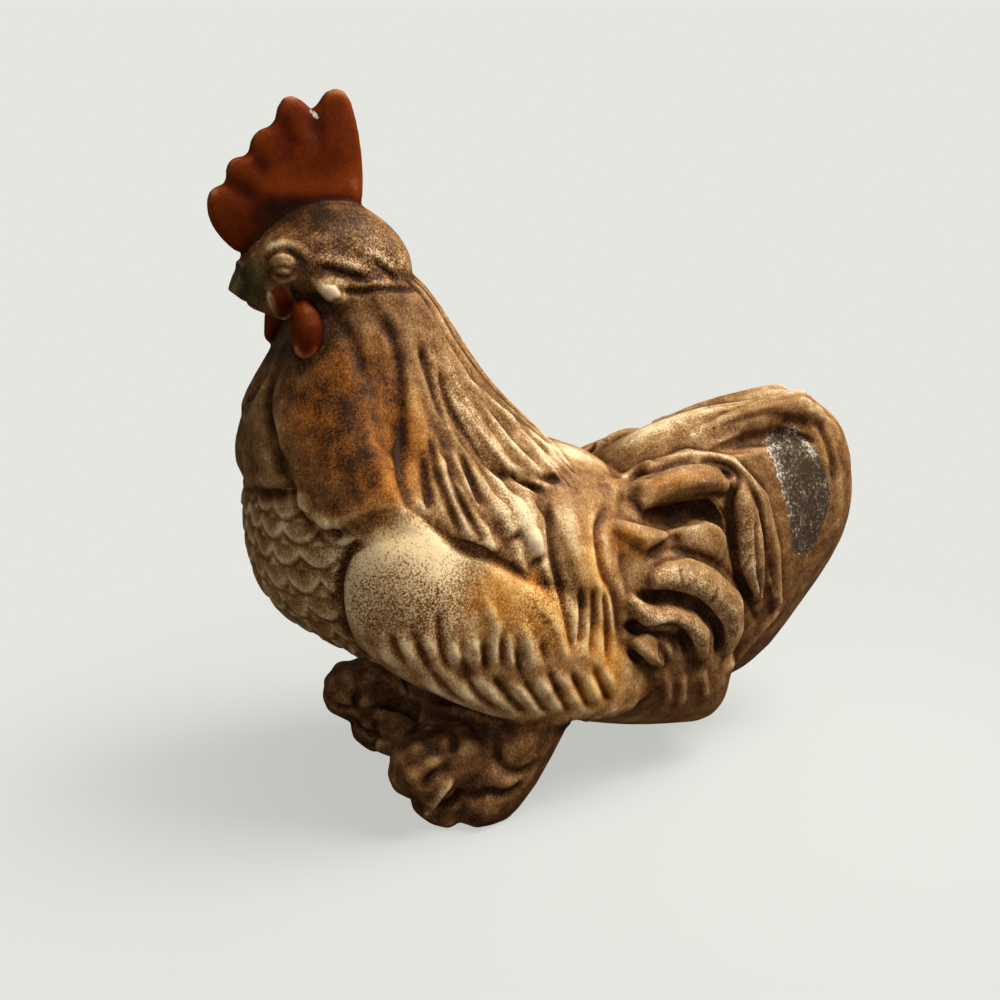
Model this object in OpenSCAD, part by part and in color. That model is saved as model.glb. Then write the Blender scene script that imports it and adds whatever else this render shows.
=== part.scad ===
// Ceramic rooster figurine: hollow slip castings and solid sprigs, luted together and fired.
// It faces -X with its left side to -Y, and stands with its feet on Z = 0. Sizes are in millimetres.

/* [Torso] */
// Length of the torso casting, from breast to rump
torso_length = 210; // [180:1:230]
// Height of the torso casting, from keel to shoulders
torso_height = 152; // [132:1:167]
// Width of the torso casting
torso_width = 114; // [100:1:128]
// Height of the keel above the table
keel_height = 13; // [10:1:20]
// Wall of the hollow castings
wall = 6; // [4:0.5:9]
// Diameter of the vent hole under the belly
vent_d = 14; // [8:1:20]
// Distance from the breast back to the vent hole
vent_setback = 130; // [115:1:145]
// Diameter of the air holes pierced between the castings
air_hole_d = 10; // [6:1:14]
// Height of a row of breast feathers
scallop_pitch = 11; // [9:0.5:14]
// Width of a breast feather, in degrees round the breast
scallop_angle = 17; // [12:1:24]
// Relief of the breast feathers
scallop_relief = 1.6; // [0:0.1:2.5]

/* [Neck] */
// Height of the neck above the shoulders
neck_rise = 56; // [45:1:68]
// Distance from the breast back to the middle of the neck under the head
neck_setback = 38; // [32:1:46]
// Depth of the neck under the head, front to back
neck_depth = 36; // [30:1:42]
// Width of the neck under the head
neck_width = 38; // [32:1:44]
// Depth of the hackle cape at its rim, front to back
cape_depth = 135; // [122:1:146]
// Width of the hackle cape at its rim
cape_width = 125; // [116:1:132]
// Distance from the shoulders down to the rim of the bib
cape_drop = 40; // [34:1:46]
// Extra drop of the hanging strands at the sides
strand_drop = 28; // [15:1:34]
// Strands on each side
strand_count = 7; // [5:1:9]
// Relief of the strands at the rim
strand_relief = 3; // [0:0.2:4]
// Thickness of the hanging strands outside the torso
strand_thickness = 4; // [3:0.5:6]
// Depth of the grooves that bound the bib's lobes
bib_groove = 3; // [0:0.2:4]

/* [Head] */
// Length of the head
head_length = 66; // [56:1:76]
// Height of the head
head_height = 44; // [38:1:50]
// Width of the head
head_width = 45; // [38:1:52]
// Overhang of the nape behind the neck
nape_overhang = 10; // [6:1:14]
// Size of the eye
eye_d = 9; // [6:0.5:12]
// Relief of the brows, cheeks and crest
face_relief = 2.2; // [0:0.1:3]
// Length of the beak in front of the head
beak_length = 7; // [5:0.5:10]
// Depth of the beak at its root
beak_depth = 17; // [13:0.5:21]
// Width of the beak at its root
beak_width = 14; // [10:0.5:18]
// Drop of the beak's tip
beak_hook = 7; // [5:0.5:10]

/* [Comb and wattles] */
// Height of the comb above the middle of the head
comb_height = 60; // [50:1:70]
// Thickness of the comb at its root
comb_root = 13; // [9:0.5:17]
// Thickness of the comb near its edge
comb_edge = 6; // [4:0.5:8]
// Length of a wattle
wattle_length = 23; // [18:1:30]
// Width of a wattle
wattle_width = 14; // [10:0.5:17]
// Thickness of a wattle
wattle_thickness = 11; // [8:0.5:14]
// Length of an ear lobe
lobe_length = 15; // [11:0.5:19]
// Width of an ear lobe
lobe_width = 9; // [7:0.5:12]

/* [Wings] */
// Length of a wing
wing_length = 128; // [112:1:142]
// Depth of a wing at the shoulder
wing_depth = 64; // [56:1:72]
// Bulge of a wing outside the torso's sides
wing_bulge = 12; // [8:0.5:16]
// Distance from the breast back to the wing's front
wing_setback = 21; // [15:1:28]
// Height of the wing's lower edge above the keel
wing_clearance = 26; // [20:1:32]
// Spacing of the flight feathers
feather_pitch = 10; // [8:0.5:14]
// Depth of the grooves between the flight feathers
feather_relief = 1.8; // [0:0.1:2.5]

/* [Saddle] */
// Width of the saddle feathers over the back
saddle_width = 46; // [36:1:54]
// Thickness of the saddle feathers outside the torso
saddle_thickness = 4; // [3:0.5:6]
// Reach of the saddle feathers down each side, in degrees
saddle_angle = 114; // [100:1:122]
// Reach of the saddle feathers under the rim of the cape
saddle_overlap = 22; // [16:1:28]

/* [Tail] */
// Length of the tail from inside the rump
tail_length = 137; // [118:1:150]
// Height of the tail
tail_height = 133; // [118:1:146]
// Width of the tail at its root
tail_width = 90; // [78:1:100]
// Length of the tail hidden inside the rump
tail_overlap = 66; // [58:1:74]
// Height of the tail's underside above the keel
tail_clearance = 14; // [10:1:18]
// Width of a sickle feather
sickle_width = 14; // [10:0.5:18]
// Thickness of a sickle feather
sickle_thickness = 11; // [8:0.5:14]
// Depth of the hollows between the sickle feathers
hollow_depth = 6; // [3:0.5:8]
// Width of the hollows between the sickle feathers
hollow_width = 11; // [8:0.5:14]
// Diameter of the boss inside the curl of the sickle feathers
boss_d = 24; // [18:0.5:30]
// Width of the rolls along the tail's upper edge
roll_width = 15; // [11:0.5:18]

/* [Feet] */
// Distance between the middles of the feet
foot_spread = 77; // [66:1:88]
// Distance from the breast back to the middle of the feet
foot_setback = 74; // [66:1:84]
// Length of a foot
foot_length = 68; // [58:1:78]
// Width of a foot
foot_width = 46; // [38:1:54]
// Diameter of a toe
toe_d = 25; // [20:0.5:30]
// Diameter of a feathered leg
leg_d = 40; // [34:1:46]

/* [Hidden] */

glaze_brown = [0.45, 0.30, 0.15];
glaze_ochre = [0.62, 0.45, 0.22];
glaze_cream = [0.78, 0.69, 0.52];
glaze_dark = [0.24, 0.16, 0.10];
glaze_red = [0.55, 0.18, 0.09];

breast_x = -torso_length / 2;
rump_x = torso_length / 2;
shoulder_z = keel_height + torso_height;
neck_x = breast_x + neck_setback;
neck_top_z = shoulder_z + neck_rise;
head_rear_x = neck_x + neck_depth / 2 + nape_overhang;
head_x = head_rear_x - head_length / 2;
head_front_x = head_rear_x - head_length;
head_sink = 3;
head_z = neck_top_z - head_sink;
comb_z = head_z + head_sink;
wing_x = breast_x + wing_setback;
wing_low_z = keel_height + wing_clearance;
saddle_x = breast_x + cape_depth - saddle_overlap + saddle_width / 2;
tail_x = rump_x - tail_overlap;
tail_low_z = keel_height + tail_clearance;
foot_x = breast_x + foot_setback;

// Outline tables. The first column is the place along the piece, from 0 to 1 or in degrees, and the others
// are shares of that piece's own sizes.
// Torso: underside, back line, width
torso_form = [
  [0, 0.69, 0.71, 0.03], [0.01, 0.57, 0.84, 0.34], [0.034, 0.49, 0.92, 0.57], [0.077, 0.43, 0.97, 0.75],
  [0.163, 0.35, 1, 0.89], [0.284, 0.26, 0.99, 0.97], [0.428, 0.17, 0.94, 1], [0.572, 0.09, 0.845, 0.98],
  [0.716, 0.034, 0.77, 0.91], [0.837, 0.007, 0.68, 0.83], [0.905, 0, 0.6, 0.75], [0.95, 0.03, 0.5, 0.6],
  [0.985, 0.12, 0.42, 0.36], [1, 0.25, 0.31, 0.05]
];
// Neck from the head down to the rim of the cape: front, back, width
neck_form = [
  [0, 0, 0, 0], [0.104, 0, 0.16, 0.12], [0.24, 0.04, 0.285, 0.22], [0.396, 0.36, 0.4, 0.34],
  [0.53, 0.68, 0.515, 0.47], [0.656, 0.94, 0.655, 0.62], [0.79, 1.03, 0.82, 0.8], [0.917, 1.03, 0.95, 0.92],
  [1, 1, 1, 1]
];
// Rim of the cape: degrees from the front, rise in shares of the bib's drop
rim_form = [
  [0, 0.2], [15, 0.3], [29, 0.36], [38, 0.2], [46, 0.1], [62, 0.22], [72, 0.27], [79, 0.25], [86, 0.12],
  [94, 0], [180, 0]
];
// Head from nape to beak: rise, height, width
head_form = [
  [0, -0.13, 0.02, 0.02], [0.06, -0.08, 0.5, 0.71], [0.21, -0.01, 0.82, 0.93], [0.39, 0.02, 1, 1],
  [0.61, 0, 1, 0.93], [0.79, -0.045, 0.82, 0.755], [0.91, -0.09, 0.59, 0.53], [0.97, -0.114, 0.41, 0.38],
  [1, -0.12, 0.02, 0.02]
];
// Comb: angle, height
comb_form = [
  [49, 0.37], [58, 0.5], [67, 0.66], [75, 0.86], [79.5, 0.98], [83.5, 1.01], [88.5, 0.97], [93, 0.88],
  [98, 0.95], [102, 0.98], [106, 0.94], [111, 0.845], [116, 0.85], [121, 0.835], [128, 0.78], [134, 0.815],
  [139, 0.8], [144, 0.76], [150, 0.81], [156, 0.8], [163, 0.75], [169, 0.68], [177, 0.57]
];
// Wing from shoulder to tip: upper edge, lower edge, bulge
wing_form = [
  [0, 0.98, 0.90, 0.05], [0.02, 1.2, 0.80, 0.45], [0.07, 1.35, 0.62, 0.8], [0.14, 1.46, 0.48, 1],
  [0.27, 1.41, 0.31, 1], [0.43, 1.23, 0.14, 0.9], [0.59, 1.05, 0.04, 0.8], [0.75, 0.8, 0, 0.65],
  [0.91, 0.47, -0.03, 0.5], [1, 0.2, 0.06, 0.1]
];
// Saddle feathers from the back down each side: shift towards the breast, width
saddle_form = [[0, 0.1, 0.95], [0.35, 0.3, 0.8], [0.6, 0.37, 0.62], [0.8, 0.22, 0.55], [1, 0.04, 0.3]];
// Tail from inside the rump to its end: underside, top, width
tail_form = [
  [0, 0.2, 0.68, 0.9], [0.09, 0.08, 0.78, 1], [0.18, 0.03, 0.845, 0.96], [0.285, -0.01, 0.885, 0.89],
  [0.39, -0.03, 0.91, 0.82], [0.5, -0.03, 0.92, 0.73], [0.617, 0.015, 0.925, 0.64], [0.714, 0.1, 0.93, 0.55],
  [0.81, 0.205, 0.92, 0.46], [0.89, 0.295, 0.885, 0.37], [0.95, 0.38, 0.815, 0.27], [0.985, 0.47, 0.72, 0.15],
  [1, 0.61, 0.63, 0.01]
];
// Sickle feathers on the side of the tail: place, length along the tail, height, width
sickle_forms = [
  [[0, 0.06, 0.72, 0.4], [0.2, 0.18, 0.79, 0.6], [0.4, 0.33, 0.8, 0.6], [0.6, 0.46, 0.73, 0.6],
    [0.8, 0.53, 0.55, 0.6], [1, 0.6, 0.28, 0.3]],
  [[0, 0.4, 0.74, 0.4], [0.3, 0.425, 0.63, 0.9], [0.7, 0.445, 0.46, 1], [1, 0.5, 0.32, 0.3]],
  [[0, 0.02, 0.49, 0.5], [0.25, 0.13, 0.49, 1.1], [0.5, 0.24, 0.43, 1.3], [0.75, 0.345, 0.32, 1.2],
    [1, 0.335, 0.19, 0.3]],
  [[0, -0.06, 0.46, 0.4], [0.3, 0.01, 0.385, 0.8], [0.6, 0.13, 0.355, 0.8], [0.85, 0.205, 0.29, 0.8],
    [1, 0.23, 0.2, 0.3]],
  [[0, -0.05, 0.33, 0.4], [0.5, 0.01, 0.28, 0.7], [1, 0.07, 0.22, 0.3]],
  [[0, 0.05, 0.69, 0.5], [0.35, 0.15, 0.73, 1], [0.7, 0.28, 0.75, 1.1], [1, 0.37, 0.71, 0.4]],
  [[0, -0.08, 0.67, 0.4], [0.5, 0.01, 0.62, 0.8], [1, 0.12, 0.6, 0.4]]
];
// Hollows between the sickle feathers: place, length along the tail, height, width
hollow_forms = [
  [[0, 0.03, 0.64, 0.3], [0.35, 0.15, 0.645, 1], [0.7, 0.27, 0.66, 1], [1, 0.35, 0.58, 0.3]],
  [[0, 0.03, 0.545, 0.3], [0.5, 0.1, 0.56, 0.7], [1, 0.17, 0.59, 0.3]],
  [[0, 0.36, 0.815, 0.3], [0.35, 0.48, 0.825, 0.7], [0.7, 0.62, 0.835, 0.8], [1, 0.77, 0.8, 0.3]]
];
// Roll along the tail's upper edge: place, length along the tail, height, width
roll_form = [
  [0, 0.3, 0.855, 0.3], [0.35, 0.48, 0.885, 0.7], [0.7, 0.67, 0.905, 1], [0.9, 0.77, 0.9, 1],
  [1, 0.82, 0.86, 0.5]
];
// Boss inside the curl: length along the tail, height
boss_place = [0.25, 0.55];
// Toes of a foot, with the heel last: place, length along the foot, shift towards the middle of the figure,
// and height, half width and half height in toe radii
toe_forms = [
  [[0, 0, 0, 2.3, 1, 1], [0.6, -0.3, -0.09, 2, 1.1, 1.2], [0.9, -0.43, -0.09, 1.7, 0.8, 0.9],
    [1, -0.48, -0.09, 1.5, 0.08, 0.08]],
  [[0, 0, 0, 1, 1, 1], [0.6, -0.21, 0.02, 0.75, 0.9, 1], [0.9, -0.3, 0.02, 0.6, 0.6, 0.7],
    [1, -0.34, 0.02, 0.5, 0.08, 0.08]],
  [[0, 0.09, 0, 1, 1, 1], [0.6, 0.06, -0.16, 0.75, 0.9, 1], [0.9, 0.03, -0.27, 0.7, 0.6, 0.7],
    [1, 0, -0.34, 0.6, 0.08, 0.08]],
  [[0, -0.09, 0.25, 1, 1, 1], [0.6, -0.15, 0.34, 0.75, 0.8, 0.9], [1, -0.27, 0.38, 0.5, 0.08, 0.08]],
  [[0, 0.06, 0.25, 1, 1, 1], [0.6, 0.38, 0.53, 0.6, 0.8, 0.9], [0.9, 0.59, 0.57, 0.4, 0.6, 0.6],
    [1, 0.66, 0.57, 0.3, 0.08, 0.08]]
];
// Relief of the face on each side: place along the head, height, reach along, reach up, relief
face_form = [
  [0.74, 0.20, 0.13, 0.05, 0.8], [0.60, 0.16, 0.05, 0.1, 0.5], [0.80, 0.03, 0.04, 0.05, -0.7],
  [0.62, -0.10, 0.09, 0.1, 0.8], [0.42, -0.05, 0.14, 0.05, 1], [0.38, -0.17, 0.16, 0.04, -0.9],
  [0.30, -0.26, 0.16, 0.05, 0.9], [0.84, -0.26, 0.06, 0.1, 0.8]
];

function unit(v) = v / norm(v);
function mean(points) = [for (k = [0:2]) [for (p = points) p[k]] * [for (p = points) 1] / len(points)];
function power(v, e) = sign(v) * pow(abs(v), e);
function bell(v) = exp(-v * v);

// Row of a table at a place, with a smooth run between its rows
function slope(table, i) =
  let (a = table[max(i - 1, 0)], b = table[min(i + 1, len(table) - 1)])
  (b - a) / (b[0] - a[0]);
function row_at(table, place) =
  let (
    i = max([0, for (k = [0:len(table) - 2]) if (table[k][0] <= place) k]),
    span = table[i + 1][0] - table[i][0],
    u = (place - table[i][0]) / span
  )
  table[i] * (1 + 2 * u) * pow(1 - u, 2) + slope(table, i) * span * u * pow(1 - u, 2)
    + table[i + 1] * u * u * (3 - 2 * u) + slope(table, i + 1) * span * u * u * (u - 1);

// Places along a piece, closer together at both ends
function eased(count) = [for (i = [0:count]) (1 - cos(180 * i / count)) / 2];

// Solid through a run of closed rings
module loft(rings) {
  n = len(rings[0]);
  m = len(rings);
  points = [for (r = rings) each r, mean(rings[0]), mean(rings[m - 1])];
  faces = [
    for (i = [0:m - 2], j = [0:n - 1])
      let (a = i * n + j, b = i * n + (j + 1) % n, c = a + n, d = b + n)
        each [[a, b, d], [a, d, c]],
    for (j = [0:n - 1]) [m * n, (j + 1) % n, j],
    for (j = [0:n - 1]) [m * n + 1, (m - 1) * n + j, (m - 1) * n + (j + 1) % n]
  ];
  polyhedron(points = points, faces = faces, convexity = 6);
}

// Rings moved along their surface's outward normal, each point by its own lift
function emboss(rings, lift) =
  let (m = len(rings), n = len(rings[0]))
  [for (i = [0:m - 1]) [for (j = [0:n - 1])
    let (
      along = rings[min(i + 1, m - 1)][j] - rings[max(i - 1, 0)][j],
      around = rings[i][(j + 1) % n] - rings[i][(j + n - 1) % n],
      normal = cross(along, around)
    )
    rings[i][j] + normal * lift[i][j] / max(norm(normal), 0.001)]];

// Rings of a tapering limb: rows of place, x, y, z, half width, half height, with its top towards face
function limb_rings(rows, face, steps, sides) =
  [for (t = eased(steps))
    let (
      r = row_at(rows, t),
      before = row_at(rows, max(t - 0.02, 0)),
      after = row_at(rows, min(t + 0.02, 1)),
      along = unit([for (k = [1:3]) after[k] - before[k]]),
      side = unit(cross(along, face)),
      top = cross(side, along)
    )
    [for (j = [0:sides - 1])
      let (q = 360 * j / sides)
      [r[1], r[2], r[3]] + side * r[4] * cos(q) + top * r[5] * sin(q)]];

module stand() {
  front_x = min([for (p = comb_form) head_x + comb_height * p[1] * cos(p[0])]);
  translate([-(front_x + tail_x + tail_length) / 2, 0, 0]) children();
}

// Torso

// Underside, back line and half width of the torso at x, drawn in by an inset
function torso_row(x, inset = 0) =
  let (r = row_at(torso_form, (x - breast_x - inset) / (torso_length - 2 * inset)))
  [
    keel_height + inset + r[1] * (torso_height - 2 * inset),
    keel_height + inset + r[2] * (torso_height - 2 * inset),
    r[3] * (torso_width / 2 - inset)
  ];

back_exponent = 2.2;
belly_exponent = 3.4;

function torso_ring(x, angles, inset = 0) =
  let (
    r = torso_row(x, inset),
    middle = (r[0] + r[1]) / 2,
    half = (r[1] - r[0]) / 2,
    belly = back_exponent + (belly_exponent - back_exponent) * (x - breast_x) / torso_length
  )
  [for (a = angles)
    let (e = 2 / (cos(a) < 0 ? belly : back_exponent))
    [x, r[2] * power(sin(a), e), middle + half * power(cos(a), e)]];

// Distance of the torso's side from the middle at x and z
function torso_side(x, z) =
  let (
    r = torso_row(min(max(x, breast_x), rump_x)),
    middle = (r[0] + r[1]) / 2,
    v = (z - middle) / ((r[1] - r[0]) / 2),
    belly = back_exponent + (belly_exponent - back_exponent) * (x - breast_x) / torso_length,
    e = v < 0 ? belly : back_exponent
  )
  x > rump_x ? 0 : r[2] * pow(max(1 - pow(abs(v), e), 0.05), 1 / e);

function torso_rings(steps, sides, inset = 0) =
  let (angles = [for (j = [0:sides - 1]) 360 * j / sides])
  [for (t = eased(steps)) torso_ring(breast_x + inset + t * (torso_length - 2 * inset), angles, inset)];

// Lift of the overlapping breast feathers
scallop_top_share = 0.6;
scallop_top_z = shoulder_z - cape_drop * scallop_top_share;
scallop_axis_x = breast_x + torso_width * 0.43;
scallop_fade = torso_width / 6;
scallop_mean_share = 0.4;
function scallop(p) =
  let (
    row = (scallop_top_z - p.z) / scallop_pitch,
    turn = atan2(p.y, scallop_axis_x - p.x) / scallop_angle + (floor(row) % 2) / 2,
    off = turn - round(turn),
    step = row - floor(row) + 2 * off * off,
    fade = min(max((scallop_axis_x - p.x) / scallop_fade, 0), 1)
  )
  row < 0 ? 0 : fade * scallop_relief * (step - floor(step) - scallop_mean_share);

module torso_solid() {
  rings = torso_rings(31, 34);
  loft(emboss(rings, [for (r = rings) [for (p = r) scallop(p)]]));
}

module body() {
  neck_hole_z = shoulder_z - torso_height / 3;
  tail_hole_z = keel_height + torso_height / 2;
  color(glaze_brown) difference() {
    torso_solid();
    loft(torso_rings(12, 16, wall));
    translate([breast_x + vent_setback, 0, 0]) cylinder(d = vent_d, h = shoulder_z / 2, $fn = 48);
    translate([neck_x, 0, neck_hole_z]) cylinder(d = air_hole_d, h = torso_height, $fn = 48);
    translate([tail_x, 0, tail_hole_z]) rotate([0, 90, 0])
      cylinder(d = air_hole_d, h = tail_overlap * 2, $fn = 48);
  }
}

// Neck and hackle cape

cape_exponent = 2.8;
bib_angle = 29;
bib_from_share = 0.4;
bib_run_share = 0.45;
bib_start_share = 0.2;
front_lobe_share = 0.3;
strands_from_angle = 82;
strands_to_angle = 149;
droop_angle = 114;
droop_spread_angle = 20;
hang_from_angle = 70;
hang_to_angle = 118;
hang_fade_angle = 12;
relief_from_share = 0.15;
relief_run_share = 0.5;
strand_pitch_angle = (strands_to_angle - strands_from_angle) / strand_count;
strand_points = 3;
bib_points = 9;
nape_points = 3;
half_turn = [
  for (k = [0:bib_points - 1]) strands_from_angle * k / bib_points,
  for (k = [0:strand_count * strand_points - 1]) strands_from_angle + strand_pitch_angle * k / strand_points,
  for (k = [0:nape_points - 1]) strands_to_angle + (180 - strands_to_angle) * k / nape_points
];
cape_turn = [each half_turn, 180, for (k = [len(half_turn) - 1:-1:1]) 360 - half_turn[k]];

function from_front(turn) = turn > 180 ? 360 - turn : turn;

// Distance of the cape outside the torso's side, which dips under it before and behind the hanging strands
function cape_stand(f) =
  let (past = max(hang_from_angle - f, f - hang_to_angle, 0))
  strand_thickness - (strand_thickness + wall) * past / hang_fade_angle;

function neck_ring(t, turns, inset = 0) =
  let (
    r = row_at(neck_form, t),
    top_front = neck_x - neck_depth / 2,
    top_back = neck_x + neck_depth / 2,
    front = top_front + r[1] * (breast_x - top_front) + inset,
    back = top_back + r[2] * (breast_x + cape_depth - top_back) - inset,
    half = neck_width / 2 + r[3] * (cape_width - neck_width) / 2 - inset
  )
  [for (turn = turns)
    let (
      f = from_front(turn),
      e = 2 / (2 + (cape_exponent - 2) * t),
      x = (front + back) / 2 - (back - front) / 2 * power(cos(f), e),
      rim = cape_drop * row_at(rim_form, f)[1] - strand_drop * bell((f - droop_angle) / droop_spread_angle),
      z = neck_top_z - inset - t * (neck_rise + cape_drop) + rim * pow(t, 3),
      y = max(half * pow(sin(f), e), torso_side(x, z) + cape_stand(f) - inset)
    )
    [x, turn > 180 ? y : -y, z]];

function cape_lift(t, turn) =
  let (
    f = from_front(turn),
    run = min(max((t - relief_from_share) / relief_run_share, 0), 1),
    edge = bib_angle * min(max((t - bib_from_share) / bib_run_share, bib_start_share), 1),
    groove = bell((f - edge) / 5) + bell((f - strands_from_angle) / 4),
    bib = (f - edge) / (strands_from_angle - edge),
    lobe = bib < 0 ? front_lobe_share * cos(90 * f / edge) : bib < 1 ? sin(180 * bib) : 0,
    strand_turn = (f - strands_from_angle) / strand_pitch_angle,
    strand = strand_turn > 0 && strand_turn < strand_count ? (cos(360 * strand_turn) - 1) / 2 : 0
  )
  run * (bib_groove * (lobe - groove) + strand_relief * t * strand);

module neck_solid() {
  places = [for (i = [0:15]) i / 15];
  rings = [for (t = places) neck_ring(t, cape_turn)];
  loft(emboss(rings, [for (t = places) [for (f = cape_turn) cape_lift(t, f)]]));
}

module neck() {
  bore_turn = [for (j = [0:15]) 22.5 * j];
  color(glaze_brown) difference() {
    neck_solid();
    loft([for (t = [0.08:0.16:0.72]) neck_ring(t, bore_turn, wall)]);
    torso_solid();
  }
}

// Head

function head_ring(t, sides) =
  let (r = row_at(head_form, t))
  [for (j = [0:sides - 1])
    let (q = -360 * j / sides)
    [
      head_rear_x - t * head_length,
      r[3] * head_width / 2 * sin(q),
      head_z + r[1] * head_height + r[2] * head_height / 2 * cos(q)
    ]];

// Lift of the brows, eye sockets, cheeks and nape feathers
function face_lift(p) =
  let (
    t = (head_rear_x - p.x) / head_length,
    u = (p.z - head_z) / head_height,
    side = abs(p.y) / head_width,
    reliefs = [for (f = face_form) f[4] * bell((t - f[0]) / f[2]) * bell((u - f[1]) / f[3])]
  )
  min(side * 6, 1) * face_relief * (reliefs * [for (r = reliefs) 1]);

module head_solid() {
  rings = [for (t = eased(20)) head_ring(t, 28)];
  loft(emboss(rings, [for (r = rings) [for (p = r) face_lift(p)]]));
}

eye_share = 0.8;

module eye() {
  r = row_at(head_form, eye_share);
  translate([head_rear_x - eye_share * head_length, r[3] * head_width / 2 - eye_d / 5, head_z + eye_d / 9])
    sphere(d = eye_d, $fn = 20);
}

module head() {
  color(glaze_cream) difference() {
    union() {
      head_solid();
      eye();
      mirror([0, 1, 0]) eye();
    }
    neck_solid();
  }
}

// Beak

module beak() {
  root_x = head_front_x + beak_length;
  root_z = head_z - beak_depth * 0.36;
  tip = beak_width * 0.03;
  upper = [
    [0, root_x, 0, root_z, beak_width / 2, beak_depth / 2],
    [0.5, head_front_x + beak_length * 0.1, 0, root_z - beak_hook * 0.3, beak_width * 0.4, beak_depth * 0.38],
    [0.8, head_front_x - beak_length * 0.2, 0, root_z - beak_hook * 0.65, beak_width / 4, beak_depth / 5],
    [1, head_front_x - beak_length * 0.4, 0, root_z - beak_hook, tip, tip]
  ];
  lower_z = root_z - beak_depth * 0.38;
  lower = [
    [0, root_x, 0, lower_z, beak_width * 0.4, beak_depth * 0.25],
    [0.6, head_front_x + beak_length * 0.2, 0, lower_z, beak_width * 0.32, beak_depth * 0.2],
    [1, head_front_x, 0, lower_z, tip, tip]
  ];
  color(glaze_dark) difference() {
    union() {
      loft(limb_rings(upper, [0, 0, 1], 8, 12));
      loft(limb_rings(lower, [0, 0, 1], 6, 10));
    }
    head_solid();
  }
}

// Comb

module comb() {
  inner = 0.16 * comb_height;
  first = comb_form[0][0];
  last = comb_form[len(comb_form) - 1][0];
  steps = 40;
  rings = [for (i = [0:steps])
    let (
      angle = first + (last - first) * i / steps,
      reach = row_at(comb_form, angle)[1] * comb_height,
      half = [[inner, comb_root / 2], [inner + (reach - inner) * 0.6, comb_root * 0.4],
        [reach - comb_edge / 2, comb_edge / 2], [reach - comb_edge / 8, comb_edge / 4]],
      section = [each half, for (k = [3:-1:0]) [half[k][0], -half[k][1]]]
    )
    [for (p = section) [head_x + p[0] * cos(angle), p[1], comb_z + p[0] * sin(angle)]]];
  color(glaze_red) difference() {
    loft(rings);
    head_solid();
  }
}

// Wattles and ear lobes

module wattle() {
  x = neck_x - neck_depth / 2 - wattle_width * 0.1;
  z = head_z - head_height * 0.26;
  y = -neck_width * 0.5;
  half = wattle_width / 2;
  thick = wattle_thickness / 2;
  rows = [
    [0, x, y + thick, z, half * 0.4, thick * 0.4],
    [0.3, x + half * 0.15, y, z - wattle_length * 0.3, half * 0.75, thick * 0.8],
    [0.75, x + half * 0.3, y, z - wattle_length * 0.7, half, thick],
    [0.94, x + half * 0.3, y, z - wattle_length * 0.95, half * 0.7, thick * 0.7],
    [1, x + half * 0.3, y, z - wattle_length, half * 0.1, thick * 0.1]
  ];
  color(glaze_red) difference() {
    loft(limb_rings(rows, [0, -1, 0], 9, 12));
    head_solid();
    neck_solid();
  }
}

module left_wattle() wattle();

module right_wattle() mirror([0, 1, 0]) wattle();

module ear_lobe() {
  x = neck_x - lobe_width;
  z = head_z - head_height * 0.1;
  y = -head_width / 2;
  half = lobe_width / 2;
  rows = [
    [0, x - lobe_length * 0.5, y + half * 0.6, z, half * 0.2, half * 0.2],
    [0.4, x - lobe_length * 0.1, y + half * 0.3, z - lobe_length * 0.2, half, half * 0.9],
    [0.7, x + lobe_length * 0.2, y + half * 0.3, z - lobe_length * 0.4, half, half * 0.9],
    [1, x + lobe_length * 0.5, y + half * 0.6, z - lobe_length * 0.6, half * 0.2, half * 0.2]
  ];
  color(glaze_cream) difference() {
    loft(limb_rings(rows, [0, -1, 0], 8, 10));
    head_solid();
    neck_solid();
  }
}

module left_ear_lobe() ear_lobe();

module right_ear_lobe() mirror([0, 1, 0]) ear_lobe();

// Wings

// Grooves between the flight feathers, slanting down to the tail in two staggered rows
feather_slant_ratio = 0.6;
feather_row_shares = [0.5, 0.72];
function feather_lift(p, v, t) =
  let (
    row = v < feather_row_shares[1] ? 0 : 0.5,
    feather = (p.x + feather_slant_ratio * (p.z - wing_low_z)) / feather_pitch + row,
    groove = bell((abs(feather % 1) - 0.5) * 5),
    run = min(max((v - feather_row_shares[0]) * 6, 0), 1) * min(max((t - 0.1) * 6, 0), 1)
  )
  -run * feather_relief * groove;

module wing_solid() {
  outer_points = 13;
  rings = [for (t = eased(24))
    let (
      r = row_at(wing_form, t),
      x = wing_x + t * wing_length,
      side = torso_row(x)[2],
      top = wing_low_z + r[1] * wing_depth,
      low = wing_low_z + r[2] * wing_depth,
      inner = -side * 0.45
    )
    [
      [x, inner, top], [x, inner, low],
      for (k = [outer_points:-1:0])
        let (
          v = k / outer_points,
          z = top + (low - top) * (1 - cos(180 * v)) / 2,
          lift = wing_bulge * r[3] * (pow(sin(180 * v), 0.6) * 1.35 - 0.35),
          y = -side * 0.95 - lift
        )
        [x, y - feather_lift([x, y, z], v, t), z]
    ]];
  loft(rings);
}

module wing() {
  color(glaze_ochre) difference() {
    wing_solid();
    torso_solid();
    neck_solid();
  }
}

module left_wing() wing();

module right_wing() mirror([0, 1, 0]) wing();

// Saddle feathers

module saddle_solid() {
  steps = 26;
  sides = 12;
  rings = [for (i = [0:steps])
    let (
      share = 2 * i / steps - 1,
      a = saddle_angle * share,
      r = row_at(saddle_form, abs(share)),
      x = saddle_x - r[1] * saddle_width,
      row = torso_row(x),
      out = unit([0, sin(a) / row[2], 2 * cos(a) / (row[1] - row[0])]),
      end = 1 - pow(abs(share), 6) * 0.8
    )
    [for (j = [0:sides - 1])
      let (
        q = 360 * j / sides,
        seat = torso_ring(x + saddle_width / 2 * r[2] * cos(q), [a])[0]
      )
      seat + out * saddle_thickness * end * sin(q)]];
  loft(rings);
}

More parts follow.
